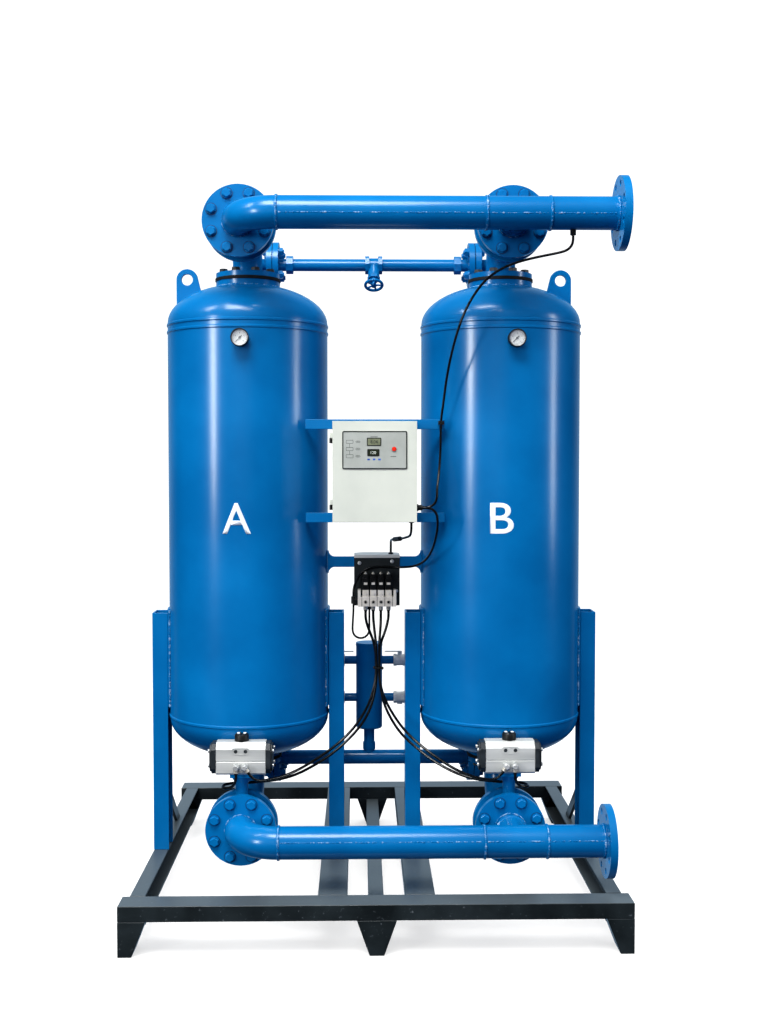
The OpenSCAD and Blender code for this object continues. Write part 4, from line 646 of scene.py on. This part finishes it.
# Geometry Nodes: one part set on every point, turned to the point's aim
def scatterTree():
    tree = bpy.data.node_groups.new("setOnPoints", "GeometryNodeTree")
    tree.interface.new_socket("Geometry", in_out="INPUT", socket_type="NodeSocketGeometry")
    tree.interface.new_socket("Geometry", in_out="OUTPUT", socket_type="NodeSocketGeometry")
    for label, kind in (("Part", "Object"), ("Size", "Float"), ("Vary", "Float"), ("Finish", "Material")):
        tree.interface.new_socket(label, in_out="INPUT", socket_type="NodeSocket" + kind)
    entry = addNode(tree, "NodeGroupInput").outputs
    part = addNode(tree, "GeometryNodeObjectInfo", {}, {"Object": entry["Part"]})
    aim = addNode(tree, "GeometryNodeInputNamedAttribute", {"data_type": "FLOAT_VECTOR", "Name": "aim"})
    turn = addNode(tree, "FunctionNodeAlignRotationToVector", {"axis": "Z"}, {"Vector": aim.outputs[0]})
    least = addNode(tree, "ShaderNodeMath", {"operation": "SUBTRACT"}, {0: entry["Size"], 1: entry["Vary"]})
    most = addNode(tree, "ShaderNodeMath", {"operation": "ADD"}, {0: entry["Size"], 1: entry["Vary"]})
    grow = addNode(tree, "FunctionNodeRandomValue", {"data_type": "FLOAT", "Seed": scatterSeed},
                   {2: least.outputs[0], 3: most.outputs[0]})
    put = addNode(tree, "GeometryNodeInstanceOnPoints", {}, {
        "Points": entry["Geometry"], "Instance": part.outputs["Geometry"], "Rotation": turn.outputs[0],
        "Scale": grow.outputs[1]})
    real = addNode(tree, "GeometryNodeRealizeInstances", {}, {"Geometry": put.outputs[0]})
    paint = addNode(tree, "GeometryNodeSetMaterial", {}, {"Geometry": real.outputs[0],
                                                          "Material": entry["Finish"]})
    addNode(tree, "NodeGroupOutput", {}, {0: paint.outputs[0]})
    return tree


setOnPoints = scatterTree()


# one plain mesh of a small shape set on every spot; aims is one way for all, or a list
def scatterPart(name, shape, spots, aims, finish, size=1.0, vary=0.0, smoothAngle=35):
    template = addToScene(name + "Part", closeShape(shape, name + "Part"))
    mesh = bpy.data.meshes.new(name + "Points")
    mesh.from_pydata([tuple(Vector(s) * mm) for s in spots], [], [])
    aim = mesh.attributes.new("aim", "FLOAT_VECTOR", "POINT")
    for row, value in zip(aim.data, aims if isinstance(aims, list) else [aims] * len(spots)):
        row.vector = value
    holder = addToScene(name + "Points", mesh)
    step = holder.modifiers.new("setOnPoints", "NODES")
    step.node_group = setOnPoints
    sockets = {item.name: item.identifier for item in setOnPoints.interface.items_tree
               if item.in_out == "INPUT"}
    inputs = {"Part": template, "Size": size, "Vary": vary, "Finish": materials[finish]}
    for label, value in inputs.items():
        step[sockets[label]] = value
    grown = bakeMesh(holder)
    bpy.data.objects.remove(template)
    return addObject(name, grown, finish, smoothAngle=smoothAngle)


pipework = {"towerX": 382, "towerY": -114, "towerR": 240, "frontY": -420, "flangeT": 20, "outletZ": 1985,
            "inletZ": 275, "pcd": 160, "holes": 8, "holeTurn": 22.5, "checkLen": 56, "butterflyLen": 46,
            "topFace": 1860, "lowFace": 423, "nozzlePcd": 150, "gasket": 3, "nozzleT": 18, "tapped": 10,
            "lineY": 60, "linePcd": {1937: 100, 369: 110}, "lineHoles": 4, "lineTurn": 45,
            "lineFlangeX": 336, "lineGrip": 38}
boltSize = {"shank": 8, "hexR": 13.6, "head": 9.5, "flatShare": 0.78, "chamfer": 0.84, "washerR": 15,
            "washer": 2.2, "lift": 0.05, "nut": 11, "tail": 4, "tailTaper": 0.8, "hex": 6, "sides": 20,
            "washerSides": 28, "poolR": 17, "poolZ": (-0.2, 0.3)}
towerXs = (-pipework["towerX"], pipework["towerX"])


# bolt along -Z from its head: washers, shank, nut and thread end
def boltShape(grip, hasNut=True):
    b = boltSize
    shape = bmesh.new()
    foot = b["washer"]
    addRod(shape, (0, 0, b["lift"]), (0, 0, foot), b["washerR"], b["washerSides"])
    addTurned(shape, [(foot, b["hexR"]), (foot + b["head"] * b["flatShare"], b["hexR"]),
                      (foot + b["head"], b["hexR"] * b["chamfer"])], b["hex"])
    addRod(shape, (0, 0, b["lift"]), (0, 0, -grip), b["shank"], b["sides"])
    if hasNut:
        seat = -grip - b["washer"]
        end = seat - b["nut"]
        addRod(shape, (0, 0, -grip), (0, 0, seat), b["washerR"], b["washerSides"])
        addRod(shape, (0, 0, seat), (0, 0, end), b["hexR"], b["hex"])
        tip = b["shank"] * b["tailTaper"]
        addRod(shape, (0, 0, end), (0, 0, end - b["tail"]), b["shank"], b["sides"], tip)
    return shape


def ringSpots(pcd, count, turn):
    for i in range(count):
        angle = math.radians(turn + i * 360 / count)
        yield pcd / 2 * math.cos(angle), pcd / 2 * math.sin(angle)


def setFlangeBolts():
    p = pipework
    b = boltSize
    ring = list(ringSpots(p["pcd"], p["holes"], p["holeTurn"]))
    for name, z, length in (("outletBolts", p["outletZ"], p["checkLen"]),
                            ("inletBolts", p["inletZ"], p["butterflyLen"])):
        spots = [(x + u, p["frontY"], z + v) for x in towerXs for u, v in ring]
        shape = boltShape(2 * p["flangeT"] + length)
        bolts = scatterPart(name, shape, spots, forward, "blueEnamel")
        if z == p["outletZ"]:
            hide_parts("flange_bolts")
        # painted shade: a dark enamel ring round each washer stands in for the shadow at its edge
        washerShade = bmesh.new()
        low, high = b["poolZ"]
        addTube(washerShade, (0, 0, low), (0, 0, high), b["shank"], b["poolR"], b["washerSides"])
        scatterPart(name + "Pools", washerShade, spots, forward, "washerShadeEnamel")
    spots = []
    aims = []
    for z, pcd in p["linePcd"].items():
        for side in (-1, 1):
            for u, v in ringSpots(pcd, p["lineHoles"], p["lineTurn"]):
                spots.append((side * p["lineFlangeX"], p["lineY"] + u, z + v))
                aims.append((side, 0, 0))
    scatterPart("lineBolts", boltShape(p["lineGrip"]), spots, aims, "blueEnamel")
    spots = []
    aims = []
    for face, up in ((p["topFace"], 1), (p["lowFace"], -1)):
        for x in towerXs:
            for u, v in ringSpots(p["nozzlePcd"], p["holes"], p["holeTurn"]):
                spots.append((x + u, p["towerY"] + v, face + up * (p["gasket"] + p["nozzleT"])))
                aims.append((0, 0, up))
    scatterPart("nozzleScrews", boltShape(p["nozzleT"] + p["tapped"], False), spots, aims, "blackDieCast")


setFlangeBolts()
print("stage: flange bolts")

weldRun = {"pipeR": 44.5, "headerY": -534, "joints": (-268, 296, 468), "ends": {1985: 648, 275: 622},
           "neckY": -421.5, "riserZ": (1882, 401), "padR": 96, "padZ": (1840, 435), "legPadR": 242,
           "legPadY": 57, "legPadZ": (579, 874), "legPadAim": (0.6, 0.8), "ringMm": 45.4, "stepMm": 4.6,
           "beadMm": 3.8, "beadSides": (7, 4), "flat": 0.55, "seamStepMm": 4.2, "seamSunk": 0.3,
           "seams": ((-258, 286), (304, 460), (476, 640)), "seamZ": {1985: -8, 275: 13},
           # size of the scales and how much it varies
           "pipeScale": (1.0, 0.15), "towerScale": (0.8, 0.15), "seamScale": (0.5, 0.3)}


# scales of weld round the pipe joints, on the towers and along the rolled pipes' seams
def layWelds():
    w = weldRun
    towerY = pipework["towerY"]
    spots = []
    aims = []

    def addRound(centre, first, second, radius=w["ringMm"]):
        count = round(2 * math.pi * radius / w["stepMm"])
        for i in range(count):
            angle = 2 * math.pi * i / count
            out = Vector(first) * math.cos(angle) + Vector(second) * math.sin(angle)
            spots.append(Vector(centre) + radius * out)
            aims.append(out)

    def setScales(name, scale):
        bead = bmesh.new()
        around, along = w["beadSides"]
        bmesh.ops.create_uvsphere(bead, u_segments=around, v_segments=along, radius=w["beadMm"] * mm,
                                  matrix=Matrix.Diagonal((1, 1, w["flat"], 1)))
        # the scales take the weld finish, whose pale flecks are painted glints
        scatterPart(name, bead, spots, aims, "weldGlintEnamel", size=scale[0], vary=scale[1], smoothAngle=180)
        spots.clear()
        aims.clear()

    for z, endX in w["ends"].items():
        for x in (*w["joints"], endX):
            addRound((x, w["headerY"], z), (0, 1, 0), (0, 0, 1))
        for x in towerXs:
            addRound((x, w["neckY"], z), (1, 0, 0), (0, 0, 1))
    for z in w["riserZ"]:
        for x in towerXs:
            addRound((x, towerY, z), (1, 0, 0), (0, 1, 0))
    setScales("pipeWelds", w["pipeScale"])
    reach = math.sqrt(w["legPadR"] ** 2 - w["legPadY"] ** 2)
    aimX, aimY = w["legPadAim"]
    for x in towerXs:
        for z in w["padZ"]:
            addRound((x, towerY, z), (1, 0, 0), (0, 1, 0), w["padR"])
        first, last = w["legPadZ"]
        for i in range(round((last - first) / w["stepMm"])):
            for away in (-1, 1):
                for front in (-1, 1):
                    out = Vector((away * reach, front * w["legPadY"], 0))
                    spots.append(Vector((x, towerY, first + i * w["stepMm"])) + out)
                    aims.append((away * aimX, front * aimY, 0))
    setScales("towerWelds", w["towerScale"])
    for z, rise in w["seamZ"].items():
        out = Vector((0, -math.sqrt(w["pipeR"] ** 2 - rise ** 2), rise)) / w["pipeR"]
        for first, last in w["seams"]:
            for i in range(round((min(last, w["ends"][z]) - first) / w["seamStepMm"])):
                foot = Vector((first + i * w["seamStepMm"], w["headerY"], z))
                spots.append(foot + (w["pipeR"] - w["seamSunk"]) * out)
                aims.append(out)
    setScales("pipeSeams", w["seamScale"])


layWelds()
print("stage: welds")

gasketShadeBand = {"faceZ": (1861.5, 421.5), "halfMm": 4.8, "innerR": 93, "outerR": 97.5, "sides": 96,
             "bevelMm": 1.2}


# painted shade: a black ring at each nozzle joint, of gasket rubber but wider than the gasket and standing
# over the flange edges, stands in for the shaded gap between the faces
def paintGasketShade():
    g = gasketShadeBand
    shape = bmesh.new()
    for z in g["faceZ"]:
        for x in towerXs:
            low = (x, pipework["towerY"], z - g["halfMm"])
            high = (x, pipework["towerY"], z + g["halfMm"])
            addTube(shape, low, high, g["innerR"], g["outerR"], g["sides"])
    finishShape(shape, "gasketLips", "gasketSheet", bevelMm=g["bevelMm"])


paintGasketShade()
print("stage: gasket lips")

towerLetters = {"A": (-396, 82), "B": (362, 68), "zMm": 1155, "heightMm": 88, "offShellMm": 0.5,
                "sliceMm": 5, "thickMm": 0.4, "bold": 0.006}


# flat letter mesh, scaled to a width and height in mm
def letterShape(text, widthMm, heightMm, bold=0.0):
    curve = bpy.data.curves.new("letter", "FONT")
    curve.body = text
    curve.offset = bold
    flat = bakeMesh(addToScene("letter", curve))
    shape = bmesh.new()
    shape.from_mesh(flat)
    bpy.data.meshes.remove(flat)
    bmesh.ops.remove_doubles(shape, verts=shape.verts, dist=mergeSize["letters"])
    xs = [v.co.x for v in shape.verts]
    ys = [v.co.y for v in shape.verts]
    wide = max(xs) - min(xs)
    tall = max(ys) - min(ys)
    for v in shape.verts:
        v.co = Vector(((v.co.x - min(xs)) / wide - 0.5, 0, (v.co.y - min(ys)) / tall - 0.5))
        v.co.x *= widthMm or heightMm * wide / tall
        v.co.z *= heightMm
    return shape


# letter bent round a tower's shell
def paintTowerLetter(text, towerX):
    spec = towerLetters
    centre, width = spec[text]
    shape = letterShape(text, width, spec["heightMm"], spec["bold"])
    cut = -width / 2 + spec["sliceMm"]
    while cut < width / 2:
        bmesh.ops.bisect_plane(shape, geom=[*shape.verts, *shape.edges, *shape.faces], plane_co=(cut, 0, 0),
                               plane_no=(1, 0, 0))
        cut += spec["sliceMm"]
    radius = pipework["towerR"] + spec["offShellMm"]
    for v in shape.verts:
        angle = (v.co.x + centre - towerX) / pipework["towerR"]
        y = pipework["towerY"] - radius * math.cos(angle)
        v.co = Vector((towerX + radius * math.sin(angle), y, spec["zMm"] + v.co.z)) * mm
    for face in shape.faces:
        if face.normal.y > 0:
            face.normal_flip()
    mesh = bpy.data.meshes.new("towerLetter" + text)
    shape.to_mesh(mesh)
    shape.free()
    obj = addObject("towerLetter" + text, mesh, "whiteInk", smoothAngle=0)
    thick = obj.modifiers.new("inkFilm", "SOLIDIFY")
    thick.thickness = spec["thickMm"] * mm
    thick.offset = 0


# adds a flat text, facing -Y and centred on a spot, to a shape
def stampText(shape, text, centre, heightMm, bold=0.004, depthMm=0.25):
    letters = letterShape(text, None, heightMm, bold)
    grown = bmesh.ops.extrude_face_region(letters, geom=letters.faces[:])
    for item in grown["geom"]:
        if isinstance(item, bmesh.types.BMVert):
            item.co.y -= depthMm
    mesh = bpy.data.meshes.new("stamp")
    for v in letters.verts:
        v.co = (v.co + Vector(centre)) * mm
    letters.to_mesh(mesh)
    letters.free()
    shape.from_mesh(mesh)
    bpy.data.meshes.remove(mesh)


for text, towerX in zip("AB", towerXs):
    paintTowerLetter(text, towerX)
print("stage: tower letters")

gaugeFace = {"spots": {"A": (-382, -354), "B": (400, -353.75)}, "zMm": 1666, "floorMm": 24, "plateMm": 0.8,
             "faceR": 22.7, "holeR": 2.4, "plateSides": 64, "tickR": 20.8, "tickMm": 0.55, "tickFlat": 0.6,
             "tickOut": 0.1, "numberR": 13.6, "numberMm": 3.4, "numberOut": 0.15, "firstDeg": 225,
             "sweepDeg": 270, "numbers": ("0", "4", "8", "12", "16"),
             # steps and length in mm of each ring of ticks
             "ticks": {"gaugeLongTicks": (8, 3.6), "gaugeShortTicks": (40, 2.0)}}


# printed dial under the glass: white plate, ring of ticks, plain numbers
def printDial(label):
    g = gaugeFace
    x, shellY = g["spots"][label]
    faceY = shellY - g["floorMm"]
    frontY = faceY - g["plateMm"]

    # directions round the sweep, from its start to its end
    def sweep(count):
        turns = [math.radians(g["firstDeg"] - g["sweepDeg"] * i / count) for i in range(count + 1)]
        return [(math.cos(t), math.sin(t)) for t in turns]

    shape = bmesh.new()
    addTube(shape, (x, faceY, g["zMm"]), (x, frontY, g["zMm"]), g["holeR"], g["faceR"], g["plateSides"])
    finishShape(shape, "gaugeDial" + label, "whiteEnamelDial")
    for name, (count, length) in g["ticks"].items():
        tick = bmesh.new()
        addBlock(tick, (0, 0, -length / 2), (g["tickMm"], g["tickMm"] * g["tickFlat"], length))
        ways = sweep(count)
        spots = [(x + g["tickR"] * u, frontY - g["tickOut"], g["zMm"] + g["tickR"] * v) for u, v in ways]
        aims = [(u, 0, v) for u, v in ways]
        scatterPart(name + label, tick, spots, aims, "blackInk", smoothAngle=0)
    figures = bmesh.new()
    for text, (u, v) in zip(g["numbers"], sweep(len(g["numbers"]) - 1)):
        spot = (x + g["numberR"] * u, frontY - g["numberOut"], g["zMm"] + g["numberR"] * v)
        stampText(figures, text, spot, g["numberMm"])
    finishShape(figures, "gaugeNumbers" + label, "blackInk", smoothAngle=0)


for label in gaugeFace["spots"]:
    printDial(label)
print("stage: gauge dials")

panelPrint = {"faceY": -432, "centre": (-3, 1349), "size": (181, 106), "corner": 5, "borderMm": 3,
              "borderDepth": (0.2, -0.5), "frameGrow": 4, "frameCorner": 2.5, "frameMm": 2.4,
              "frameDepth": (0.1, -0.7), "windowMm": 0.5, "windowOut": 0.2, "digitOut": 0.45,
              "digitMm": 0.15,
              # place, size, finish; then place, text, height, finish
              "displays": [((-5, 1372), (36, 19), "oliveDisplay"), ((-7, 1342), (30, 16), "displayWindow")],
              "digits": [((-5, 1372), "8.04", 8.5, "blackInk"), ((-7, 1342), "120", 8, "paleDigits")],
              "blueMarks": [(-20, 1323), (-5, 1323), (10, 1323)], "blueMark": (7, 0.4, 4.5),
              "markBevel": 0.2, "mimicX": -73, "mimicRows": (1372, 1352, 1332), "mimicBox": (20, 10),
              "mimicCorner": 2, "mimicDepth": (0.1, -0.25), "lineMm": 0.9, "inkOut": 0.1, "inkMm": 0.3,
              "captionX": 23, "captionMm": 0.8, "captions": {-2.4: 10.2, 0: 15, 2.4: 10.2},
              "titles": {(-5, 1386): 20, (49, 1331): 16}, "titleMm": 1.6}


def printPanel():
    p = panelPrint
    y = p["faceY"]
    inkY = y - p["inkOut"]
    ink = p["inkMm"]

    # frame on the panel's face, from one depth to another
    def addFrame(shape, centre, size, corner, width, depth):
        addRoundFrame(shape, centre, size, corner, width, y + depth[0], y + depth[1])

    border = bmesh.new()
    addFrame(border, p["centre"], p["size"], p["corner"], p["borderMm"], p["borderDepth"])
    for centre, size, _ in p["displays"]:
        grown = [side + p["frameGrow"] for side in size]
        addFrame(border, centre, grown, p["frameCorner"], p["frameMm"], p["frameDepth"])
    finishShape(border, "panelBorder", "blackInk", "box_door")
    for i, ((x, z), (wide, tall), finish) in enumerate(p["displays"]):
        window = bmesh.new()
        addBlock(window, (x, y - p["windowOut"], z), (wide, p["windowMm"], tall))
        finishShape(window, "panelDisplay%d" % (i + 1), finish, "box_door")
    for i, ((x, z), text, height, finish) in enumerate(p["digits"]):
        digits = bmesh.new()
        stampText(digits, text, (x, y - p["digitOut"], z), height, 0.0, p["digitMm"])
        finishShape(digits, "panelDigits%d" % (i + 1), finish, "box_door", smoothAngle=0)
    marks = bmesh.new()
    for x, z in p["blueMarks"]:
        addBlock(marks, (x, inkY, z), p["blueMark"])
    finishShape(marks, "panelBlueMarks", "blueInk", "box_door", bevelMm=p["markBevel"])
    lines = bmesh.new()
    column = p["mimicX"]
    rows = p["mimicRows"]
    for z in rows:
        addFrame(lines, (column, z), p["mimicBox"], p["mimicCorner"], p["lineMm"], p["mimicDepth"])
        for rise, wide in p["captions"].items():
            addBlock(lines, (column + p["captionX"], inkY, z + rise), (wide, ink, p["captionMm"]))
    for upper, lower in zip(rows, rows[1:]):
        gap = upper - lower - p["mimicBox"][1]
        addBlock(lines, (column, inkY, (upper + lower) / 2), (p["lineMm"], ink, gap))
    for (x, z), wide in p["titles"].items():
        addBlock(lines, (x, inkY, z), (wide, ink, p["titleMm"]))
    finishShape(lines, "panelLines", "greyInk", "box_door", smoothAngle=0)


printPanel()
print("stage: control panel")

boxFitting = {"plateY": -314, "boxX": -3, "shellMm": 1.2, "timerSize": (120, 45, 90), "timerZ": 1344,
              "timerBevel": 2.0, "dialX": 24, "dialR": 15, "dialMm": 9, "dialTaper": 0.9, "dialSides": 40,
              "dialBevel": 0.6,
              "screenAt": (-30, 14), "screenSize": (40, 0.8, 22), "blockSize": (160, 30, 40), "blockZ": 1219,
              "blockBevel": 1.5, "ways": 12, "screwRise": (-12, 12), "screwZ": (-1, 0.6), "screwR": 3.6,
              "screwSides": 14, "gapMm": 1.2, "gapDeep": 1}


# timer with its dial, and a terminal strip, seen when the door is open
def fitBox():
    f = boxFitting
    x = f["boxX"]
    z = f["timerZ"]
    shell = f["shellMm"]

    # skin over one of the plate's blocks; gives the depth of its front
    def addSkin(name, size, middleZ, finish, bevelMm):
        wide, deep, tall = size
        shape = bmesh.new()
        addBlock(shape, (x, f["plateY"] - (deep + shell) / 2, middleZ),
                 (wide + 2 * shell, deep + shell, tall + 2 * shell))
        finishShape(shape, name, finish, bevelMm=bevelMm)
        return f["plateY"] - deep - shell

    front = addSkin("timerHousing", f["timerSize"], z, "greyAbs", f["timerBevel"])
    dial = bmesh.new()
    addPeg(dial, x + f["dialX"], z, front + rootMm, front - f["dialMm"], f["dialR"], f["dialSides"],
           f["dialR"] * f["dialTaper"])
    addBlock(dial, (x + f["screenAt"][0], front, z + f["screenAt"][1]), f["screenSize"])
    finishShape(dial, "timerDial", "blackPolyamide", bevelMm=f["dialBevel"])
    front = addSkin("terminalStrip", f["blockSize"], f["blockZ"], "creamPbt", f["blockBevel"])
    wide, deep, tall = f["blockSize"]
    step = wide / f["ways"]
    left = x - wide / 2
    low, high = f["screwZ"]
    clamp = bmesh.new()
    addRod(clamp, (0, 0, low), (0, 0, high), f["screwR"], f["screwSides"])
    spots = [(left + (i + 0.5) * step, front, f["blockZ"] + rise) for i in range(f["ways"])
             for rise in f["screwRise"]]
    scatterPart("terminalScrews", clamp, spots, forward, "zincSteel")
    rib = bmesh.new()
    addBlock(rib, (0, 0, 0), (f["gapMm"], tall, f["gapDeep"]))
    spots = [(left + i * step, front, f["blockZ"]) for i in range(1, f["ways"])]
    scatterPart("terminalGaps", rib, spots, forward, "blackPolyamide", smoothAngle=0)


fitBox()
print("stage: box fittings")

hoodTrim = {"screws": [(-46, -146, 1010), (53, -146, 1015), (66, -146, 925)], "screwSides": 20,
            "screwProfile": [(0.1, 6), (2.2, 5.7), (3.6, 3.6)],
            "coilX": (-27.5, -4.5, 18.5, 41.5), "coilFrontY": -182, "coilTopZ": 978, "coilBackY": -162,
            "printZ": 951, "printSize": (11, 0.6, 7), "printOut": 0.1, "printBevel": 0.15, "overrideZ": 920,
            "overrideR": 2.6, "overrideOut": 1.4, "overrideSides": 16,
            # rise above the coil's top, radius, sides
            "nut": [((-1, 4), 5.2, 6), ((4, 7), 2.5, 12)], "brassBevel": 0.3,
            "manifoldFrontY": -186, "jointX": (-39, -16, 7, 30, 53), "jointZ": 897,
            "jointSize": (1.2, 0.8, 29), "portZ": 896, "portR": 5.4, "portOut": 2.4, "portWall": 0.6,
            "portSides": 24, "boreShare": 0.62, "boreOut": 1, "boreSides": 20,
            "roofX": (-62, 76), "roofY": (-146, -36), "roofZ": 1033.3, "roofRise": 0.5, "lipMm": 9,
            "roofMm": 1.4, "roofCorner": 40, "cornerSteps": 12}


def trimHood():
    h = hoodTrim
    front = h["manifoldFrontY"]
    screw = bmesh.new()
    addTurned(screw, h["screwProfile"], h["screwSides"])
    scatterPart("hoodScrews", screw, h["screws"], forward, "zincSteel")
    prints = bmesh.new()
    nuts = bmesh.new()
    joints = bmesh.new()
    ports = bmesh.new()
    for x in h["jointX"]:
        addBlock(joints, (x, front, h["jointZ"]), h["jointSize"])
    for x in h["coilX"]:
        addBlock(prints, (x, h["coilFrontY"] - h["printOut"], h["printZ"]), h["printSize"])
        addPeg(prints, x, h["overrideZ"], front + rootMm, front - h["overrideOut"], h["overrideR"],
               h["overrideSides"])
        for (low, high), radius, sides in h["nut"]:
            foot = (x, h["coilBackY"], h["coilTopZ"] + low)
            addRod(nuts, foot, (x, h["coilBackY"], h["coilTopZ"] + high), radius, sides)
        addPeg(joints, x, h["portZ"], front + rootMm, front - h["boreOut"], h["portR"] * h["boreShare"],
               h["boreSides"])
        addTube(ports, (x, front + rootMm, h["portZ"]), (x, front - h["portOut"], h["portZ"]),
                h["portR"] * h["portWall"], h["portR"], h["portSides"])
    finishShape(prints, "coilPrints", "creamPbt", bevelMm=h["printBevel"])
    finishShape(nuts, "coilNuts", "nickelBrass", bevelMm=h["brassBevel"])
    finishShape(joints, "manifoldJoints", "blackPolyamide")
    finishShape(ports, "manifoldPorts", "nickelBrass", bevelMm=h["brassBevel"])


# painted reflection: a pale sheet on the hood, folded down over its front edge, with round rear corners,
# stands in for the bright sky mirrored in the hood's top
def paintHoodReflection():
    h = hoodTrim
    left, right = h["roofX"]
    front, back = h["roofY"]
    corner = h["roofCorner"]
    rim = [(left, front), (right, front)]
    for centre, start in ((right - corner, 0), (left + corner, 90)):
        for k in range(h["cornerSteps"] + 1):
            angle = math.radians(start + k * 90 / h["cornerSteps"])
            rim.append((centre + corner * math.cos(angle), back - corner + corner * math.sin(angle)))
    slope = h["roofRise"] / (back - front)
    shape = bmesh.new()
    faces = []
    for z in (h["roofZ"], h["roofZ"] + h["roofMm"]):
        faces.append([shape.verts.new(Vector((x, y, z + slope * (y - front))) * mm) for x, y in rim])
        shape.faces.new(faces[-1])
    under, over = faces
    for i in range(len(rim)):
        j = (i + 1) % len(rim)
        shape.faces.new((under[i], under[j], over[j], over[i]))
    addBlock(shape, ((left + right) / 2, front - h["roofMm"] / 2, h["roofZ"] + h["roofMm"] - h["lipMm"] / 2),
             (right - left, h["roofMm"], h["lipMm"]))
    finishShape(shape, "hoodRoof", "anodisedAluminium")


tubeTrim = {"tieAt": (8.7, -177, 697), "tieSize": (25, 24, 5), "tieMm": 1.4, "headOut": 2,
            "headSize": (6, 5, 7.5), "plugKnots": (7, 9), "plugR": 7, "plugTip": 0.2, "plugTaper": 0.62,
            "bevelMm": 0.4}


# cable tie round the bundle of tubes and a plug in the hood's cable
def bindTubes():
    t = tubeTrim
    x, y, z = t["tieAt"]
    wide, deep, tall = t["tieSize"]
    shape = bmesh.new()
    for end in (-1, 1):
        addBlock(shape, (x, y + end * deep / 2, z), (wide, t["tieMm"], tall))
        addBlock(shape, (x + end * wide / 2, y, z), (t["tieMm"], deep, tall))
    addBlock(shape, (x + wide / 2 + t["headOut"], y - deep / 2, z), t["headSize"])
    first, last = [Vector(cordRoutes["hood_cable"][k]) for k in t["plugKnots"]]
    addRod(shape, first, last, t["plugR"])
    for end, other in ((first, last), (last, first)):
        tip = end + (end - other) * t["plugTip"]
        addRod(shape, end, tip, t["plugR"], endRadius=t["plugR"] * t["plugTaper"])
    finishShape(shape, "tubeTie", "blackPolyamide", bevelMm=t["bevelMm"])


trimHood()
paintHoodReflection()
bindTubes()
print("stage: solenoid trim")

actuatorTrim = {"valveY": -377, "capFaceX": 89, "boltY": (-399, -355), "boltZ": (456, 498), "boltSides": 20,
                "boltProfile": [(-1, 5.5), (4.2, 5.17)], "socketZ": (4.2, 4.5), "socketR": 2.6, "hex": 6,
                "knobTopZ": 544.4, "markX": (-9, 9), "markSize": (8, 17, 0.6), "markOut": 0.1,
                "markBevel": 0.2, "collarR": 5.6, "collarMm": 3, "collarBack": 0.5, "collarTaper": 0.92,
                "frontY": -413, "padMm": (52, 20), "padCorner": 10, "padRim": 1.6, "padOut": 0.8,
                "plugX": (-14, 14), "plugZ": 498.6, "plugR": 5.3, "plugSunk": (2, 0.2), "seatR": (5.4, 7.6),
                "seatOut": 0.9, "seatSides": 32, "portX": (-12, 12), "portZ": 456, "nutR": 10.6, "nutOut": 8,
                "elbowY": -427, "elbowR": 9, "elbowSides": (24, 14), "spoutR": (6.5, 5.8), "spoutMm": 9.5}


def trimActuators():
    a = actuatorTrim
    front = a["frontY"]
    cap = bmesh.new()
    addTurned(cap, a["boltProfile"], a["boltSides"])
    low, high = a["socketZ"]
    addRod(cap, (0, 0, low), (0, 0, high), a["socketR"], a["hex"])
    spots = []
    aims = []
    for x in towerXs:
        for end in (-1, 1):
            for y in a["boltY"]:
                for z in a["boltZ"]:
                    spots.append((x + end * a["capFaceX"], y, z))
                    aims.append((end, 0, 0))
    scatterPart("capBolts", cap, spots, aims, "zincSteel")
    for label, x in zip("AB", towerXs):
        mark = bmesh.new()
        for shift in a["markX"]:
            addBlock(mark, (x + shift, a["valveY"], a["knobTopZ"] + a["markOut"]), a["markSize"])
        finishShape(mark, "knobMarks" + label, "whiteInk", "valve_spindle_" + label.lower(),
                    bevelMm=a["markBevel"])
    collars = bmesh.new()
    for node, route in cordRoutes.items():
        if not node.startswith("air_tube"):
            continue
        for end, beside in ((route[0], route[1]), (route[-1], route[-2])):
            out = (Vector(beside) - Vector(end)).normalized()
            foot = Vector(end) - a["collarBack"] * out
            addRod(collars, foot, Vector(end) + a["collarMm"] * out, a["collarR"],
                   endRadius=a["collarR"] * a["collarTaper"])
    finishShape(collars, "tubeCollars", "blackPolyamide")
    pads = bmesh.new()
    plugs = bmesh.new()
    elbows = bmesh.new()
    around, along = a["elbowSides"]
    root = front + rootMm
    back, face = [front + sunk for sunk in a["plugSunk"]]
    for middle in towerXs:
        addRoundFrame(pads, (middle, a["plugZ"]), a["padMm"], a["padCorner"], a["padRim"], root,
                      front - a["padOut"])
        for x in (middle + shift for shift in a["plugX"]):
            addTube(pads, (x, root, a["plugZ"]), (x, front - a["seatOut"], a["plugZ"]), *a["seatR"],
                    a["seatSides"])
            addPeg(plugs, x, a["plugZ"], back, face, a["plugR"])
        for x in (middle + shift for shift in a["portX"]):
            addPeg(elbows, x, a["portZ"], root, front - a["nutOut"], a["nutR"], a["hex"])
            bmesh.ops.create_uvsphere(elbows, u_segments=around, v_segments=along, radius=a["elbowR"] * mm,
                                      matrix=Matrix.Translation(Vector((x, a["elbowY"], a["portZ"])) * mm))
            addPeg(elbows, x, a["portZ"], a["elbowY"], a["elbowY"] - a["spoutMm"], a["spoutR"][0],
                   endRadius=a["spoutR"][1])
    finishShape(pads, "actuatorPads", "anodisedAluminium")
    finishShape(plugs, "actuatorPlugs", "castIron")
    finishShape(elbows, "portElbows", "zincSteel")


trimActuators()
print("stage: actuator trim")
